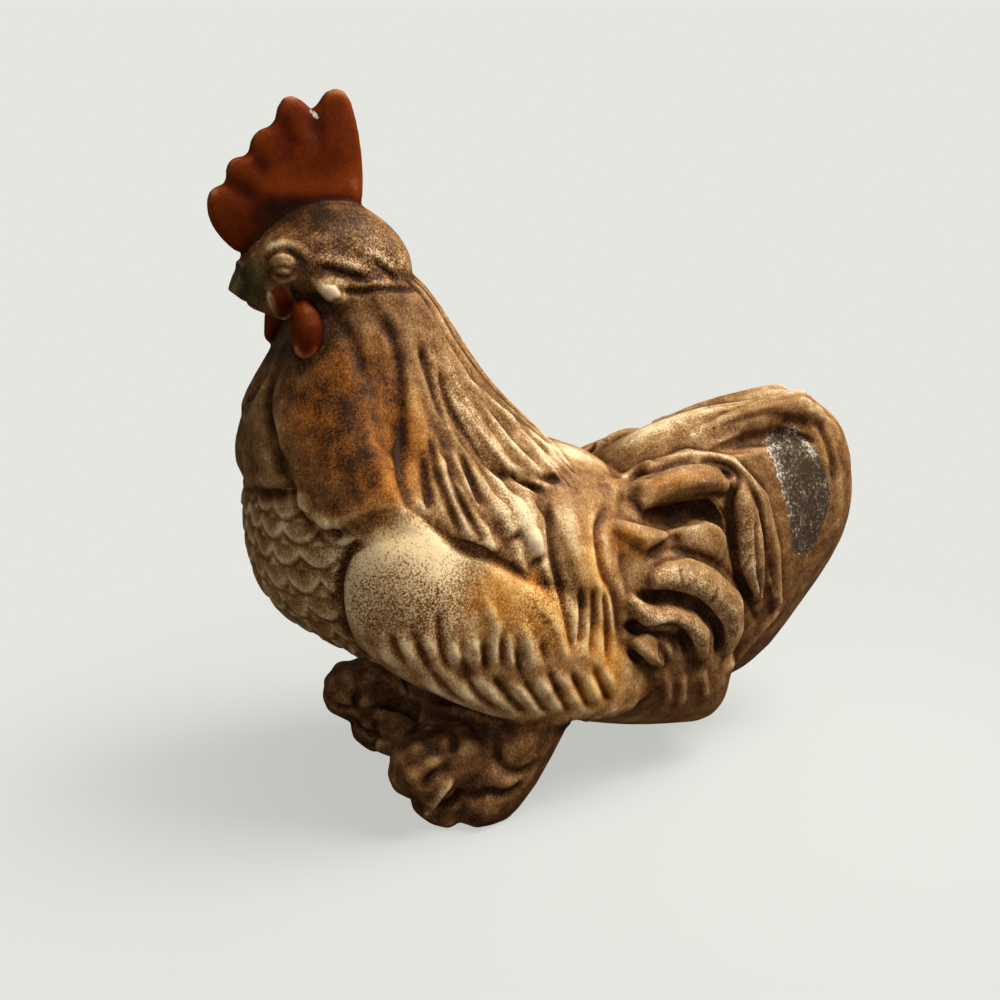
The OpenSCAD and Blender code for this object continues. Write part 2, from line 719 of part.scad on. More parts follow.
module saddle() {
  color(glaze_ochre) difference() {
    saddle_solid();
    torso_solid();
    neck_solid();
    wing_solid();
    mirror([0, 1, 0]) wing_solid();
  }
}

// Tail and sickle feathers

function tail_ring(t, sides, inset = 0) =
  let (
    r = row_at(tail_form, t),
    low = tail_low_z + inset + r[1] * (tail_height - 2 * inset),
    high = tail_low_z + inset + r[2] * (tail_height - 2 * inset),
    half = r[3] * (tail_width / 2 - inset)
  )
  [for (j = [0:sides - 1])
    let (q = 360 * j / sides)
    [tail_x + t * (tail_length - inset), half * sin(q), (low + high) / 2 + (high - low) / 2 * cos(q)]];

module tail_solid() {
  loft([for (t = eased(20)) tail_ring(t, 24)]);
}

// Distance of the tail's side from the middle, at a share of its length and height
function tail_side(t, u) =
  let (
    r = row_at(tail_form, min(max(t, 0), 1)),
    v = (u - (r[1] + r[2]) / 2) / ((r[2] - r[1]) / 2)
  )
  r[3] * tail_width / 2 * sqrt(max(1 - v * v, 0.06));

// Limb laid along the side of the tail or torso, at a distance outside it
module side_limb(form, width, thickness, out, steps) {
  rows = [for (f = form)
    let (
      x = tail_x + f[1] * tail_length,
      z = tail_low_z + f[2] * tail_height,
      y = max(tail_side(f[1], f[2]), torso_side(x, z)) + out
    )
    [f[0], x, -y, z, width / 2 * f[3], thickness / 2 * (f[3] + 0.2)]];
  loft(limb_rings(rows, [0, -1, 0], steps, 8));
}

// Low boss on the tail's side, inside the curl of the sickle feathers
boss_rise_share = 0.35;
module boss() {
  x = tail_x + boss_place[0] * tail_length;
  z = tail_low_z + boss_place[1] * tail_height;
  y = tail_side(boss_place[0], boss_place[1]);
  translate([x, -y, z]) scale([1, boss_rise_share, 1]) sphere(d = boss_d, $fn = 16);
}

// Roll along one side of the tail's upper edge
roll_depth_share = 0.8;
module roll() {
  side_limb(roll_form, roll_width, roll_width * roll_depth_share, 0, 8);
}

module hollows() {
  for (form = hollow_forms) side_limb(form, hollow_width, hollow_depth * 2, 0, 6);
}

module tail() {
  color(glaze_brown) difference() {
    union() {
      tail_solid();
      boss();
      mirror([0, 1, 0]) boss();
      roll();
      mirror([0, 1, 0]) roll();
    }
    hollows();
    mirror([0, 1, 0]) hollows();
    loft([for (t = eased(9)) tail_ring(t * 0.98, 14, wall + hollow_depth)]);
    torso_solid();
    saddle_solid();
  }
}

module sickles() {
  color(glaze_cream) difference() {
    union() {
      for (form = sickle_forms) side_limb(form, sickle_width, sickle_thickness, sickle_thickness * 0.1, 8);
    }
    tail_solid();
    torso_solid();
    saddle_solid();
    wing_solid();
  }
}

module left_sickles() sickles();

module right_sickles() mirror([0, 1, 0]) sickles();

// Feet

module foot() {
  y = -foot_spread / 2;
  toe = toe_d / 2;
  leg = leg_d / 2;
  leg_rows = [
    [0, foot_x + foot_length * 0.41, y, keel_height + leg * 1.8, leg, leg * 0.9],
    [0.5, foot_x + foot_length * 0.18, y, keel_height + leg * 0.4, leg * 0.95, leg * 0.9],
    [0.85, foot_x + foot_length * 0.03, y, toe * 0.6, leg * 0.85, leg * 0.8],
    [1, foot_x - foot_length * 0.03, y, 0, leg * 0.7, leg * 0.6]
  ];
  toes = [for (form = toe_forms) [for (f = form)
    [f[0], foot_x + f[1] * foot_length, y + f[2] * foot_width, toe * f[3], toe * f[4], toe * f[5]]]];
  color(glaze_dark) difference() {
    union() {
      loft(limb_rings(leg_rows, [0, -1, 0], 8, 16));
      for (rows = toes) loft(limb_rings(rows, [0, 0, 1], 7, 10));
    }
    translate([foot_x - foot_length, y - foot_width, -toe_d]) cube([foot_length * 2, foot_width * 2, toe_d]);
    torso_solid();
    wing_solid();
  }
}

module left_foot() foot();

module right_foot() mirror([0, 1, 0]) foot();

stand() body();
stand() neck();
stand() head();
stand() beak();
stand() comb();
stand() left_wattle();
stand() right_wattle();
stand() left_ear_lobe();
stand() right_ear_lobe();
stand() left_wing();
stand() right_wing();
stand() saddle();
stand() tail();
stand() left_sickles();
stand() right_sickles();
stand() left_foot();
stand() right_foot();
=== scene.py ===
import math

import bpy
import numpy as np
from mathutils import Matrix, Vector
from mathutils.bvhtree import BVHTree
from mathutils.kdtree import KDTree


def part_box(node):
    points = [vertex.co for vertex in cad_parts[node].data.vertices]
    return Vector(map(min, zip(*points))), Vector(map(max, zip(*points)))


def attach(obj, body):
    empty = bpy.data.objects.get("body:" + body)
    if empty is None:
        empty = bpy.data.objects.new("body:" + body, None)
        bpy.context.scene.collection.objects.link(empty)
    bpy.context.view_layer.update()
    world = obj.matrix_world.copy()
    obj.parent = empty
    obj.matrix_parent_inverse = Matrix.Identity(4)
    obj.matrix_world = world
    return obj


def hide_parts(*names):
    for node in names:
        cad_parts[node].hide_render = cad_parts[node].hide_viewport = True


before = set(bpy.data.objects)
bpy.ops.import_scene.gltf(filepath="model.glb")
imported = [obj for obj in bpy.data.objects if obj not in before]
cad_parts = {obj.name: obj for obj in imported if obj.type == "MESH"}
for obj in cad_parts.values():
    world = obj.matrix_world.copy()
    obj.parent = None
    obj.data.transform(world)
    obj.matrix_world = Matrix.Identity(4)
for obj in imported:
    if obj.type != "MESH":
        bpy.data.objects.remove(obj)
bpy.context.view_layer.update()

# Studio. A pale table top under one large soft lamp from above and a weak one from the left, with the
# camera where the photograph was taken from. The backdrop is the world's own pale colour.
mm = 0.001
aim = Vector((-30.1, 0, 118)) * mm
camera_bearing = math.radians(-24)
camera_distance = 560 * mm
camera_height = 263 * mm
picture_size = 1000
focal_pixels = 1400
sensor = 36
backdrop_colour = (0.79, 0.79, 0.75, 1)
sky_colour = (0.90, 0.82, 0.72, 1)
sky_strength = 0.16
table_radius = 3000 * mm
table_shade = (0.51, 0.535, 0.545, 1)
table_bounce = (0.10, 0.08, 0.06, 1)
shadow_from, shadow_to = 100 * mm, 330 * mm
shadow_depth = 0.34
# Each lamp's place and size in millimetres, its power and its colour.
lamps = {
    "key": ((560, -330, 1040), 800, 28.0, (1, 0.95, 0.87)),
    "fill": ((-800, -900, 450), 700, 3.0, (1, 0.97, 0.94)),
}

eye = aim + Vector((
    math.sin(camera_bearing) * camera_distance,
    -math.cos(camera_bearing) * camera_distance,
    camera_height - aim.z,
))
forward = (aim - eye).normalized()
rightward = forward.cross(Vector((0, 0, 1))).normalized()
upward = rightward.cross(forward)


def sight(pixel):
    """Direction from the camera through a pixel of the photograph's frame."""
    across = (pixel[0] - picture_size / 2) / focal_pixels
    down = (pixel[1] - picture_size / 2) / focal_pixels
    return (forward + rightward * across - upward * down).normalized()


class Tone:
    """One socket of a node tree. Arithmetic on it adds Math nodes."""

    def __init__(self, tree, socket=None):
        self.tree = tree
        self.socket = socket

    def node(self, kind, settings, sockets, output=0):
        """Any other node: its settings first, then the values or links of its sockets."""
        made = self.tree.nodes.new(kind)
        for name, value in settings.items():
            if name == "stops":
                while len(made.color_ramp.elements) < len(value):
                    made.color_ramp.elements.new(1)
                for element, (place, colour) in zip(made.color_ramp.elements, value):
                    element.position = place
                    element.color = (*colour, 1)
            else:
                setattr(made, name, value)
        for key, value in sockets.items():
            if isinstance(value, Tone):
                self.tree.links.new(value.socket, made.inputs[key])
            else:
                made.inputs[key].default_value = value
        return Tone(self.tree, made.outputs[output]) if len(made.outputs) else None

    def maths(self, operation, *values):
        return self.node("ShaderNodeMath", {"operation": operation}, dict(enumerate(values)))

    def __add__(self, other):
        return self.maths("ADD", self, other)

    __radd__ = __add__

    def __sub__(self, other):
        return self.maths("SUBTRACT", self, other)

    def __rsub__(self, other):
        return self.maths("SUBTRACT", other, self)

    def __mul__(self, other):
        return self.maths("MULTIPLY", self, other)

    __rmul__ = __mul__

    def ramp(self, low, high):
        """A smooth run from 0 at low to 1 at high."""
        run = {"Value": self, "From Min": low, "From Max": high}
        return self.node("ShaderNodeMapRange", {"interpolation_type": "SMOOTHSTEP"}, run)

    def blend(self, first, second):
        """The first colour where this is 0, and the second where it is 1."""
        return self.node("ShaderNodeMix", {"data_type": "RGBA"}, {0: self, 6: first, 7: second}, 2)

    def shader(self, first, second):
        """The first shader where this is 0, and the second where it is 1."""
        return self.node("ShaderNodeMixShader", {}, {0: self, 1: first, 2: second})


def bare_material(name):
    """A new material with an empty node tree."""
    material = bpy.data.materials.new(name)
    material.use_nodes = True
    material.node_tree.nodes.clear()
    return material


world = bpy.data.worlds.new("studio")
bpy.context.scene.world = world
world.use_nodes = True
world.node_tree.nodes.clear()
sky = Tone(world.node_tree)
direct = sky.node("ShaderNodeLightPath", {}, {}, "Is Camera Ray")
sky_light = sky.node("ShaderNodeBackground", {}, {"Color": sky_colour, "Strength": sky_strength})
sky_seen = sky.node("ShaderNodeBackground", {}, {"Color": backdrop_colour})
sky.node("ShaderNodeOutputWorld", {}, {"Surface": direct.shader(sky_light, sky_seen)})

bpy.ops.object.select_all(action="DESELECT")
bpy.ops.mesh.primitive_circle_add(vertices=128, radius=table_radius, fill_type="NGON")
table = bpy.context.object
table.name = "table"
table_material = bare_material("table_top")
top = Tone(table_material.node_tree)
place = top.node("ShaderNodeTexCoord", {}, {}, "Object")
reach = top.node("ShaderNodeVectorMath", {"operation": "LENGTH"}, {0: place}, "Value")
seen = top.node("ShaderNodeLightPath", {}, {}, "Is Camera Ray")
lit = top.node("ShaderNodeBsdfDiffuse", {}, {"Color": table_shade})
dim = top.node("ShaderNodeBsdfDiffuse", {}, {"Color": table_bounce})
flat = top.node("ShaderNodeEmission", {}, {"Color": backdrop_colour})
clear = 1 - (1 - reach.ramp(shadow_from, shadow_to)) * shadow_depth
covered = seen.shader(dim, clear.shader(lit, flat))
top.node("ShaderNodeOutputMaterial", {}, {"Surface": covered})
table.data.materials.append(table_material)

for lamp_name, (lamp_place, lamp_size, lamp_power, lamp_colour) in lamps.items():
    lamp = bpy.data.objects.new(lamp_name, bpy.data.lights.new(lamp_name, "AREA"))
    bpy.context.collection.objects.link(lamp)
    lamp.location = Vector(lamp_place) * mm
    lamp.rotation_euler = (aim - lamp.location).to_track_quat("-Z", "Y").to_euler()
    lamp.data.size = lamp_size * mm
    lamp.data.energy = lamp_power
    lamp.data.color = lamp_colour

camera = bpy.data.objects.new("camera", bpy.data.cameras.new("camera"))
bpy.context.collection.objects.link(camera)
camera.location = eye
camera.rotation_euler = forward.to_track_quat("-Z", "Y").to_euler()
camera.data.sensor_width = sensor
camera.data.lens = sensor * focal_pixels / picture_size
bpy.context.scene.camera = camera
bpy.context.scene.view_settings.view_transform = "Standard"

# Raw clay. The castings are luted together and worked over as one figure while they are damp. So the skin
# starts as all the CAD nodes run together, with coils of clay in their joins, which are then thumbed
# smooth. It is cut along its seams into the pieces again at the end.
merge_distance = 0.01 * mm
skin_voxel = 0.8 * mm
calm_rounds = 40
calm_shares = {
    "body": 1, "neck": 0.6, "tail": 0.9, "wing": 1, "saddle": 0.9, "sickles": 0.7, "foot": 0.45,
    "head": 0.4, "comb": 0.25, "beak": 0.1, "wattle": 0.2, "ear_lobe": 0.2,
}
vent_radius = 7 * mm
vent_setback = 130 * mm
vent_floor = 27.5 * mm
plug_radius = vent_radius * 1.2
plug_depth = 8 * mm
bib_hem = [(338, 521), (350, 517), (365, 511), (380, 505), (395, 501), (410, 503), (425, 511)]
shoulder_top = [(342, 543), (354, 545), (368, 543), (384, 538), (400, 534), (415, 533), (430, 536)]
hem_shares = (0.1, 0.3, 0.5, 0.7, 0.9)
hem_radius = 4 * mm
hem_depth = 4 * mm
rib_root = [(620, 483), (630, 476), (641, 469), (652, 465)]
arch_root = [(606, 490), (620, 490), (636, 492), (650, 490)]
beak_bridge = [(245, 264), (241, 272), (237, 281)]
saddle_pit = [(562, 580), (569, 585), (577, 591)]
# Each coil's line, its radius, and how deep it lies behind the surface.
root_coils = [
    (rib_root, 2.6 * mm, 1 * mm),
    (arch_root, 4.6 * mm, 1.5 * mm),
    (beak_bridge, 3 * mm, 2.5 * mm),
    (saddle_pit, 3 * mm, 2 * mm),
]
bib_end = [(346, 532), (362, 526), (380, 518), (398, 514), (420, 516), (440, 524)]
beak_tip = [(231, 287), (233, 296), (242, 304)]
beak_profile = [(243, 258), (229, 290), (252, 307)]
saddle_rear = [(590, 448), (606, 456), (616, 480), (620, 520), (626, 560), (636, 600)]
rib_end = [(636, 473), (648, 466), (660, 461)]
soft_ends = {
    "cape_rear": [(545, 470), (552, 520), (560, 570), (572, 590)],
    "roll_start": [(676, 428), (692, 431), (712, 428)],
    "feather_roots": [(610, 488), (630, 474), (634, 492), (640, 506)],
    "claw_back": [(691, 558), (705, 565), (720, 576), (735, 593), (742, 603)],
    "fold_tip": [(650, 531), (660, 536), (668, 538)],
    "mound_top": [(694, 523), (712, 523), (724, 533)],
    "bib_corner": [(308, 512), (320, 525), (336, 527)],
}
mirror = np.array((1, -1, 1))
# The first layer holds the glaze's wiping together with painted light and shade.
glaze_layers = ("wiped", "flecked", "amber", "olive", "red", "worn", "chalky")


def curve_through(pixels, step=4):
    """A smooth line through pixels, with a point about every step."""
    p = np.array(pixels, float)
    if len(p) == 1:
        return p
    ends = np.vstack([2 * p[0] - p[1], p, 2 * p[-1] - p[-2]])
    line = []
    for a, b, c, d in zip(ends, ends[1:], ends[2:], ends[3:]):
        count = max(1, int(np.linalg.norm(c - b) / step))
        for t in np.arange(count) / count:
            bend = (2 * a - 5 * b + 4 * c - d) * t ** 2 + (3 * b - a - 3 * c + d) * t ** 3
            line.append(b + ((c - a) * t + bend) / 2)
    return np.array(line + [p[-1]])


def eased(values):
    """Values held to 0 and 1, with a smooth run between."""
    held = np.clip(values, 0, 1)
    return held * held * (3 - 2 * held)


class Clay:
    """The figure while it is modelled: the points of its skin, and the lift, the glazes and the painted
    light and shade at each.
    """

    def __init__(self):
        self.lay_out()
        self.pile_up()
        self.skin_over()
        self.read()
        self.part_out()
        self.calm()
        self.read()
        self.survey()
        self.lift = np.zeros(len(self.points))
        self.glazes = {name: np.zeros(len(self.points)) for name in glaze_layers}
        self.dips = {}

    def pile_up(self):
        """A plug in the vent hole, the coils and a copy of each CAD node, joined in one mesh."""
        bpy.ops.object.select_all(action="DESELECT")
        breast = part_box("body")[0].x
        plug_place = (breast + vent_setback, 0, vent_floor + plug_depth / 2)
        bpy.ops.mesh.primitive_cylinder_add(radius=plug_radius, depth=plug_depth, location=plug_place)
        self.piece = bpy.context.object
        for share in hem_shares:
            self.coil(bib_hem, shoulder_top, share, hem_radius, hem_depth)
        for line, radius, depth in root_coils:
            self.coil(line, line, 0, radius, depth)
        bpy.ops.object.convert(target="MESH")
        for name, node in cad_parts.items():
            copy = bpy.data.objects.new(name + "_clay", node.data.copy())
            bpy.context.collection.objects.link(copy)
            copy.select_set(True)
        bpy.ops.object.join()
        bpy.ops.object.transform_apply()
        bpy.ops.object.mode_set(mode="EDIT")
        bpy.ops.mesh.select_all(action="SELECT")
        bpy.ops.mesh.remove_doubles(threshold=merge_distance)
        bpy.ops.object.mode_set(mode="OBJECT")
        self.piece.data.materials.clear()

    def skin_over(self):
        """One even skin in place of the pile."""
        skin = self.piece.modifiers.new("skin", "REMESH")
        skin.mode = "VOXEL"
        skin.voxel_size = skin_voxel
        bpy.ops.object.modifier_apply(modifier="skin")

    def calm(self):
        """Smooths the skin, most on the broad castings and least on the small sprigs."""
        group = self.piece.vertex_groups.new(name="calm")
        for kind, share in calm_shares.items():
            group.add(np.nonzero(self.of(kind))[0].tolist(), share, "REPLACE")
        calm = self.piece.modifiers.new("calm", "SMOOTH")
        calm.iterations = calm_rounds
        calm.vertex_group = "calm"
        bpy.ops.object.modifier_apply(modifier="calm")
        self.piece.vertex_groups.clear()

    def read(self):
        """Points, normals and edges of the skin as it is now."""
        data = self.piece.data
        self.points = np.empty(len(data.vertices) * 3)
        data.vertices.foreach_get("co", self.points)
        self.points = self.points.reshape(-1, 3)
        self.normals = np.empty(len(data.vertices) * 3)
        data.vertices.foreach_get("normal", self.normals)
        self.normals = self.normals.reshape(-1, 3)
        edges = np.empty(len(data.edges) * 2, int)
        data.edges.foreach_get("vertices", edges)
        self.edges = edges.reshape(-1, 2).T

    def survey(self):
        """The skin as a surface that a line of sight can meet."""
        faces = [face.vertices for face in self.piece.data.polygons]
        self.surface = BVHTree.FromPolygons([Vector(p) for p in self.points], faces)

    def lay_out(self):
        """The CAD nodes as one surface, with the node that each of its faces belongs to."""
        self.names = sorted(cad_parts)
        points, triangles = [], []
        self.owner = []
        for k, name in enumerate(self.names):
            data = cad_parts[name].data
            start = len(points)
            points += [v.co for v in data.vertices]
            triangles += [[start + i for i in face.vertices] for face in data.polygons]
            self.owner += [k] * len(data.polygons)
        self.surface = BVHTree.FromPolygons(points, triangles)

    def coil(self, upper, lower, share, radius, depth):
        """A coil of clay, and its mirror image, at a share of the way between two lines of pixels."""
        found = []
        for pixels in zip(upper, lower):
            above, below = [self.surface.ray_cast(eye, sight(p))[0] + sight(p) * depth for p in pixels]
            found.append(above.lerp(below, share))
        for side in (1, -1):
            curve = bpy.data.curves.new("coil", "CURVE")
            curve.dimensions = "3D"
            curve.bevel_depth = radius
            curve.use_fill_caps = True
            spline = curve.splines.new("POLY")
            spline.points.add(len(found) - 1)
            for point, spot in zip(spline.points, found):
                point.co = (spot.x, side * spot.y, spot.z, 1)
            roll = bpy.data.objects.new("coil", curve)
            bpy.context.collection.objects.link(roll)
            roll.select_set(True)

    def part_out(self):
        """The CAD node that each point of the skin belongs to, and its distance to the nearest seam."""
        label = np.array([self.owner[self.surface.find_nearest(Vector(p))[2]] for p in self.points])
        shares = [self.spread((label == k).astype(float), 2 * skin_voxel) for k in range(len(self.names))]
        self.label = np.argmax(shares, 0)
        a, b = self.edges
        rim = np.unique(self.edges[:, self.label[a] != self.label[b]])
        tree = KDTree(len(rim))
        for k, index in enumerate(rim):
            tree.insert(self.points[index], k)
        tree.balance()
        self.seam = np.array([tree.find(p)[2] for p in self.points])

    def of(self, *kinds):
        """Where the skin belongs to nodes of these kinds, as 0 and 1."""
        wanted = [k for k, name in enumerate(self.names) if name.endswith(kinds)]
        return np.isin(self.label, wanted).astype(float)

    def spread(self, values, radius):
        """Values averaged over about a radius of the skin."""
        a, b = self.edges
        count = len(self.points)
        share = np.bincount(a, minlength=count) + np.bincount(b, minlength=count)
        for _ in range(max(1, round((radius / skin_voxel) ** 2))):
            around = np.bincount(a, values[b], count) + np.bincount(b, values[a], count)
            values = (values + around / np.maximum(share, 1)) / 2
        return values

    def smoothed(self, radius):
        """The points of the skin, averaged over about a radius."""
        return np.stack([self.spread(self.points[:, k], radius) for k in range(3)], 1)

    def near(self, pixels, width, around=False, both=True):
        """How strongly a soft line behind these pixels, and its mirror image, cover each point of the skin.

        Only skin that faces as the line does is covered, unless the line reaches all around it.
        """
        found = [self.surface.ray_cast(eye, sight(p)) for p in curve_through(pixels)]
        line = np.array([hit[0] for hit in found if hit[0] is not None])
        facing = np.array([hit[1] for hit in found if hit[0] is not None])
        cover = np.zeros(len(self.points))
        run = np.linspace(0, 1, max(len(line), 2))
        for side in (np.ones(3), mirror)[:1 + both] if len(line) else ():
            path, front = line * side, facing * side
            inside = (self.points > path.min(0) - 3 * width) & (self.points < path.max(0) + 3 * width)
            close = np.nonzero(inside.all(1))[0]
            distance = np.full(len(close), np.inf)
            along = np.zeros(len(close))
            ahead = np.zeros(len(close))
            for k in range(max(len(path) - 1, 1)):
                leg = path[min(k + 1, len(path) - 1)] - path[k]
                offset = self.points[close] - path[k]
                t = np.clip(offset @ leg / max(leg @ leg, 1e-12), 0, 1)
                d = np.linalg.norm(offset - t[:, None] * leg, axis=1)
                better = d < distance
                distance[better] = d[better]
                along[better] = run[k] + t[better] * (run[1] - run[0])
                ahead[better] = self.normals[close][better] @ front[k]
            length = np.linalg.norm(np.diff(path, axis=0), axis=1).sum()
            slim = length > 4 * width
            taper = eased(np.minimum(along, 1 - along) * length / (4 * width) + 0.3) if slim else 1
            facing_it = 1 if around else np.clip(ahead * 2, 0, 1)
            reach = taper * np.exp(-(distance / width) ** 2) * facing_it
            cover[close] = np.maximum(cover[close], reach)
        return cover

    def press(self, lines, width, height):
        """Ridges raised along lines of pixels, or grooves where the height is below 0."""
        for pixels in lines:
            self.lift += height * self.near(pixels, width)

    def wash(self, glaze, lines, width, strength, both=True):
        """Glaze, and on the tone layer also painted light and shade, brushed on along lines of pixels, or
        taken off where the strength is below 0.
        """
        for pixels in lines:
            self.glazes[glaze] += strength * self.near(pixels, width, both=both)

    def tint(self, glaze, kind, strength, blur):
        """A thin, even wash of glaze over all of a kind of piece."""
        self.glazes[glaze] += strength * self.spread(self.of(kind), blur)

    def dip(self, kind, slot, wiped, soft=0):
        """Notes the glaze of a kind of piece, how pale its wiping and painted light make it, and how softly
        its relief stains it.
        """
        self.dips[kind] = (slot, wiped, soft)

    def melt(self, lines, width, radius):
        """The skin smoothed along lines of pixels, as with a wet thumb."""
        cover = np.max([self.near(pixels, width, around=True) for pixels in lines], 0)
        self.points += cover[:, None] * (self.smoothed(radius) - self.points)
        self.settle()

    def cut(self, kind, start, end):
        """Takes off what stands left of a straight line of pixels, square to the figure's middle plane."""
        first, last = [eye - sight(p) * (eye.y / sight(p).y) for p in (start, end)]
        outward = Vector((0, 1, 0)).cross(last - first).normalized()
        beyond = np.maximum((self.points - np.array(first)) @ np.array(outward), 0)
        self.points -= (beyond * self.spread(self.of(kind), 2 * mm))[:, None] * np.array(outward)

    def settle(self):
        """Moves the skin by its lift, so that what is pressed next lies on the new form."""
        settled = self.spread(self.lift, 0.6 * skin_voxel)
        self.points = self.points + self.normals * settled[:, None]
        self.points[:, 2] = np.maximum(self.points[:, 2], 0)
        self.piece.data.vertices.foreach_set("co", self.points.ravel())
        self.piece.data.update()
        self.lift[:] = 0
        self.read()
        self.survey()


clay = Clay()
clay.melt([bib_end], width=9 * mm, radius=6 * mm)
clay.melt([beak_tip], width=3.5 * mm, radius=2.4 * mm)
for corner, next_corner in zip(beak_profile, beak_profile[1:]):
    clay.cut("beak", corner, next_corner)
clay.melt([saddle_rear, rib_end], width=6 * mm, radius=5 * mm)
clay.melt(soft_ends.values(), width=5 * mm, radius=4 * mm)

# Body. The torso is a hollow slip casting from a two-part mould, with rows of overlapping breast feathers
# pressed into it, each row half a feather round from the next. Its brown glaze is wiped pale on them.
speck_grain = 0.8 * mm
hair_grain = 1.0 * mm
hair_lean = -0.5
hair_stretch = 0.45
patch_grain = 6 * mm
cloud_grain = 16 * mm
chalk_grain = 1.5 * mm
tooth_depth = 0.4 * mm
tooth_strength = 0.55
gloss = 0.44
umber = (0.026, 0.011, 0.004)
brown = (0.140, 0.060, 0.021)
ochre = (0.345, 0.196, 0.080)
cream = (0.80, 0.645, 0.41)
antique_stops = [(0.0, umber), (0.28, brown), (0.56, ochre), (0.90, cream)]
amber_stops = [
    (0.0, umber), (0.25, (0.19, 0.062, 0.010)), (0.55, (0.46, 0.185, 0.030)), (0.95, (0.78, 0.54, 0.22)),
]
olive_stops = [(0.0, (0.016, 0.012, 0.005)), (0.4, (0.075, 0.055, 0.020)), (0.9, (0.26, 0.20, 0.10))]
brick_stops = [
    (0.0, (0.014, 0.004, 0.002)), (0.35, (0.065, 0.008, 0.001)), (0.7, (0.15, 0.027, 0.003)),
    (1.0, (0.32, 0.13, 0.06)),
]
worn_stops = [(0.22, (0.050, 0.034, 0.021)), (0.52, (0.13, 0.098, 0.068)), (0.80, (0.56, 0.51, 0.43))]
scallop_height = 10 * mm
scallop_turn = math.radians(16)
scallop_relief = 1.5 * mm
scallop_bow = 2.0
scallop_lip = 3
scallop_rows = 9
scallop_axis = 52 * mm
scallop_back = 62 * mm
scallop_fade = 22 * mm
scallop_top = 139 * mm
scallop_wander = 0.14
materials = {}


def glaze(name, sheen):
    """An antiqued glaze: dark where it pools, pale where wiping takes it off, lighter and darker where
    light and shade are painted on, with specks and a fine tooth.
    """
    material = bare_material(name)
    g = Tone(material.node_tree)
    spot = g.node("ShaderNodeTexCoord", {}, {}, "Object")

    def noise(grain, detail, rough=0.6, place=None):
        sockets = {"Vector": place or spot, "Scale": 1 / grain, "Detail": detail, "Roughness": rough}
        return g.node("ShaderNodeTexNoise", {}, sockets, "Fac") - 0.5

    def layer(of):
        return g.node("ShaderNodeAttribute", {"attribute_name": of}, {}, "Fac")

    def tones(stops):
        return g.node("ShaderNodeValToRGB", {"stops": stops}, {"Fac": shade})

    drawn = {"Vector": spot, "Rotation": (0, hair_lean, 0), "Scale": (1, 1, hair_stretch)}
    fall = g.node("ShaderNodeMapping", {}, drawn)
    specks = noise(speck_grain, 3, 0.7)
    hairs = noise(hair_grain, 4, 0.7, fall)
    patches = noise(patch_grain, 3)
    clouds = noise(cloud_grain, 2)
    mottle = specks * (0.8 + layer("flecked") * 1.8) + hairs * 0.35 + patches * 0.6 + clouds * 0.4
    shade = layer("wiped") + mottle
    colour = (layer("amber") + clouds * 0.4).ramp(0.1, 1.0).blend(tones(antique_stops), tones(amber_stops))
    colour = layer("olive").ramp(0.1, 1.0).blend(colour, tones(olive_stops))
    plain = layer("wiped") + patches * 0.3 + specks * 0.3
    brick = g.node("ShaderNodeValToRGB", {"stops": brick_stops}, {"Fac": plain})
    colour = (layer("red") + patches * 0.5).ramp(0.3, 0.7).blend(colour, brick)
    chalk = noise(chalk_grain, 5, 0.75)
    bare = (layer("worn") + chalk * 0.35 + patches * 0.4).ramp(0.44, 0.50)
    crumbs = chalk * 2.2 + patches * 1.0 + layer("chalky") * 0.55 + 0.26
    worn = g.node("ShaderNodeValToRGB", {"stops": worn_stops}, {"Fac": crumbs})
    colour = bare.blend(colour, worn)
    roughness = gloss + specks * 0.35 + bare * 0.35
    height = specks * 0.6 + hairs + bare * chalk * 4
    tooth = {"Height": height, "Strength": tooth_strength, "Distance": tooth_depth}
    bump = g.node("ShaderNodeBump", {}, tooth, "Normal")
    sockets = {"Base Color": colour, "Roughness": roughness, "Normal": bump, "Specular IOR Level": sheen}
    fired = g.node("ShaderNodeBsdfPrincipled", {}, sockets)
    g.node("ShaderNodeOutputMaterial", {}, {"Surface": fired})
    return material


materials["brown_glaze"] = glaze("brown_glaze", sheen=0.05)
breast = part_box("body")[0].x
ahead = breast + scallop_axis - clay.points[:, 0]
wander = np.sin(clay.points[:, 1] / (13 * mm)) + np.sin(clay.points[:, 2] / (9 * mm) + 2)
row = (scallop_top - clay.points[:, 2]) / scallop_height + scallop_wander * wander
turn = np.arctan2(clay.points[:, 1], ahead) / scallop_turn + (np.floor(row) % 2) / 2
off = turn - np.round(turn)
step = (row + scallop_bow * off ** 2) % 1
feather = np.minimum(step, (1 - step) * scallop_lip) - 0.4
in_front = eased((breast + scallop_back - clay.points[:, 0]) / scallop_fade)
faded = in_front * eased(row) * eased((scallop_rows - row) / 3)
clay.lift += scallop_relief * feather * faded * clay.of("body")
clay.dip("body", "brown_glaze", wiped=0.49)

# Neck and hackle cape. A hollow casting that is luted over the torso's shoulders. A smooth bib hangs over
# the breast, and long hackle strands fan back from the head and end in rounded tips over the wings.
bib_groove = [(379, 313), (393, 337), (400, 375), (400, 430), (401, 471), (409, 497), (414, 512)]
throat_groove = [(334, 312), (350, 336), (361, 362), (368, 388)]
panel_groove = [(270, 372), (268, 405), (274, 434), (278, 462), (290, 483)]
bib_lip = [(298, 488), (304, 508), (314, 519), (330, 526), (342, 524)]
under_bib = [(246, 489), (268, 493), (292, 490), (301, 513), (312, 529), (334, 535), (350, 528)]
wing_crease = [(352, 536), (368, 522), (386, 510), (404, 503), (420, 509), (436, 522)]
hackle_grooves = [
    [(423, 455), (426, 481), (431, 512)],
    [(430, 436), (437, 472), (449, 502), (461, 533)],
    [(449, 462), (461, 500), (475, 526), (485, 546)],
    [(461, 452), (473, 486), (482, 509)],
    [(440, 370), (452, 410), (470, 438), (485, 460), (499, 473), (513, 478)],
    [(420, 345), (432, 385), (444, 420)],
    [(534, 473), (548, 478), (563, 478)],
]
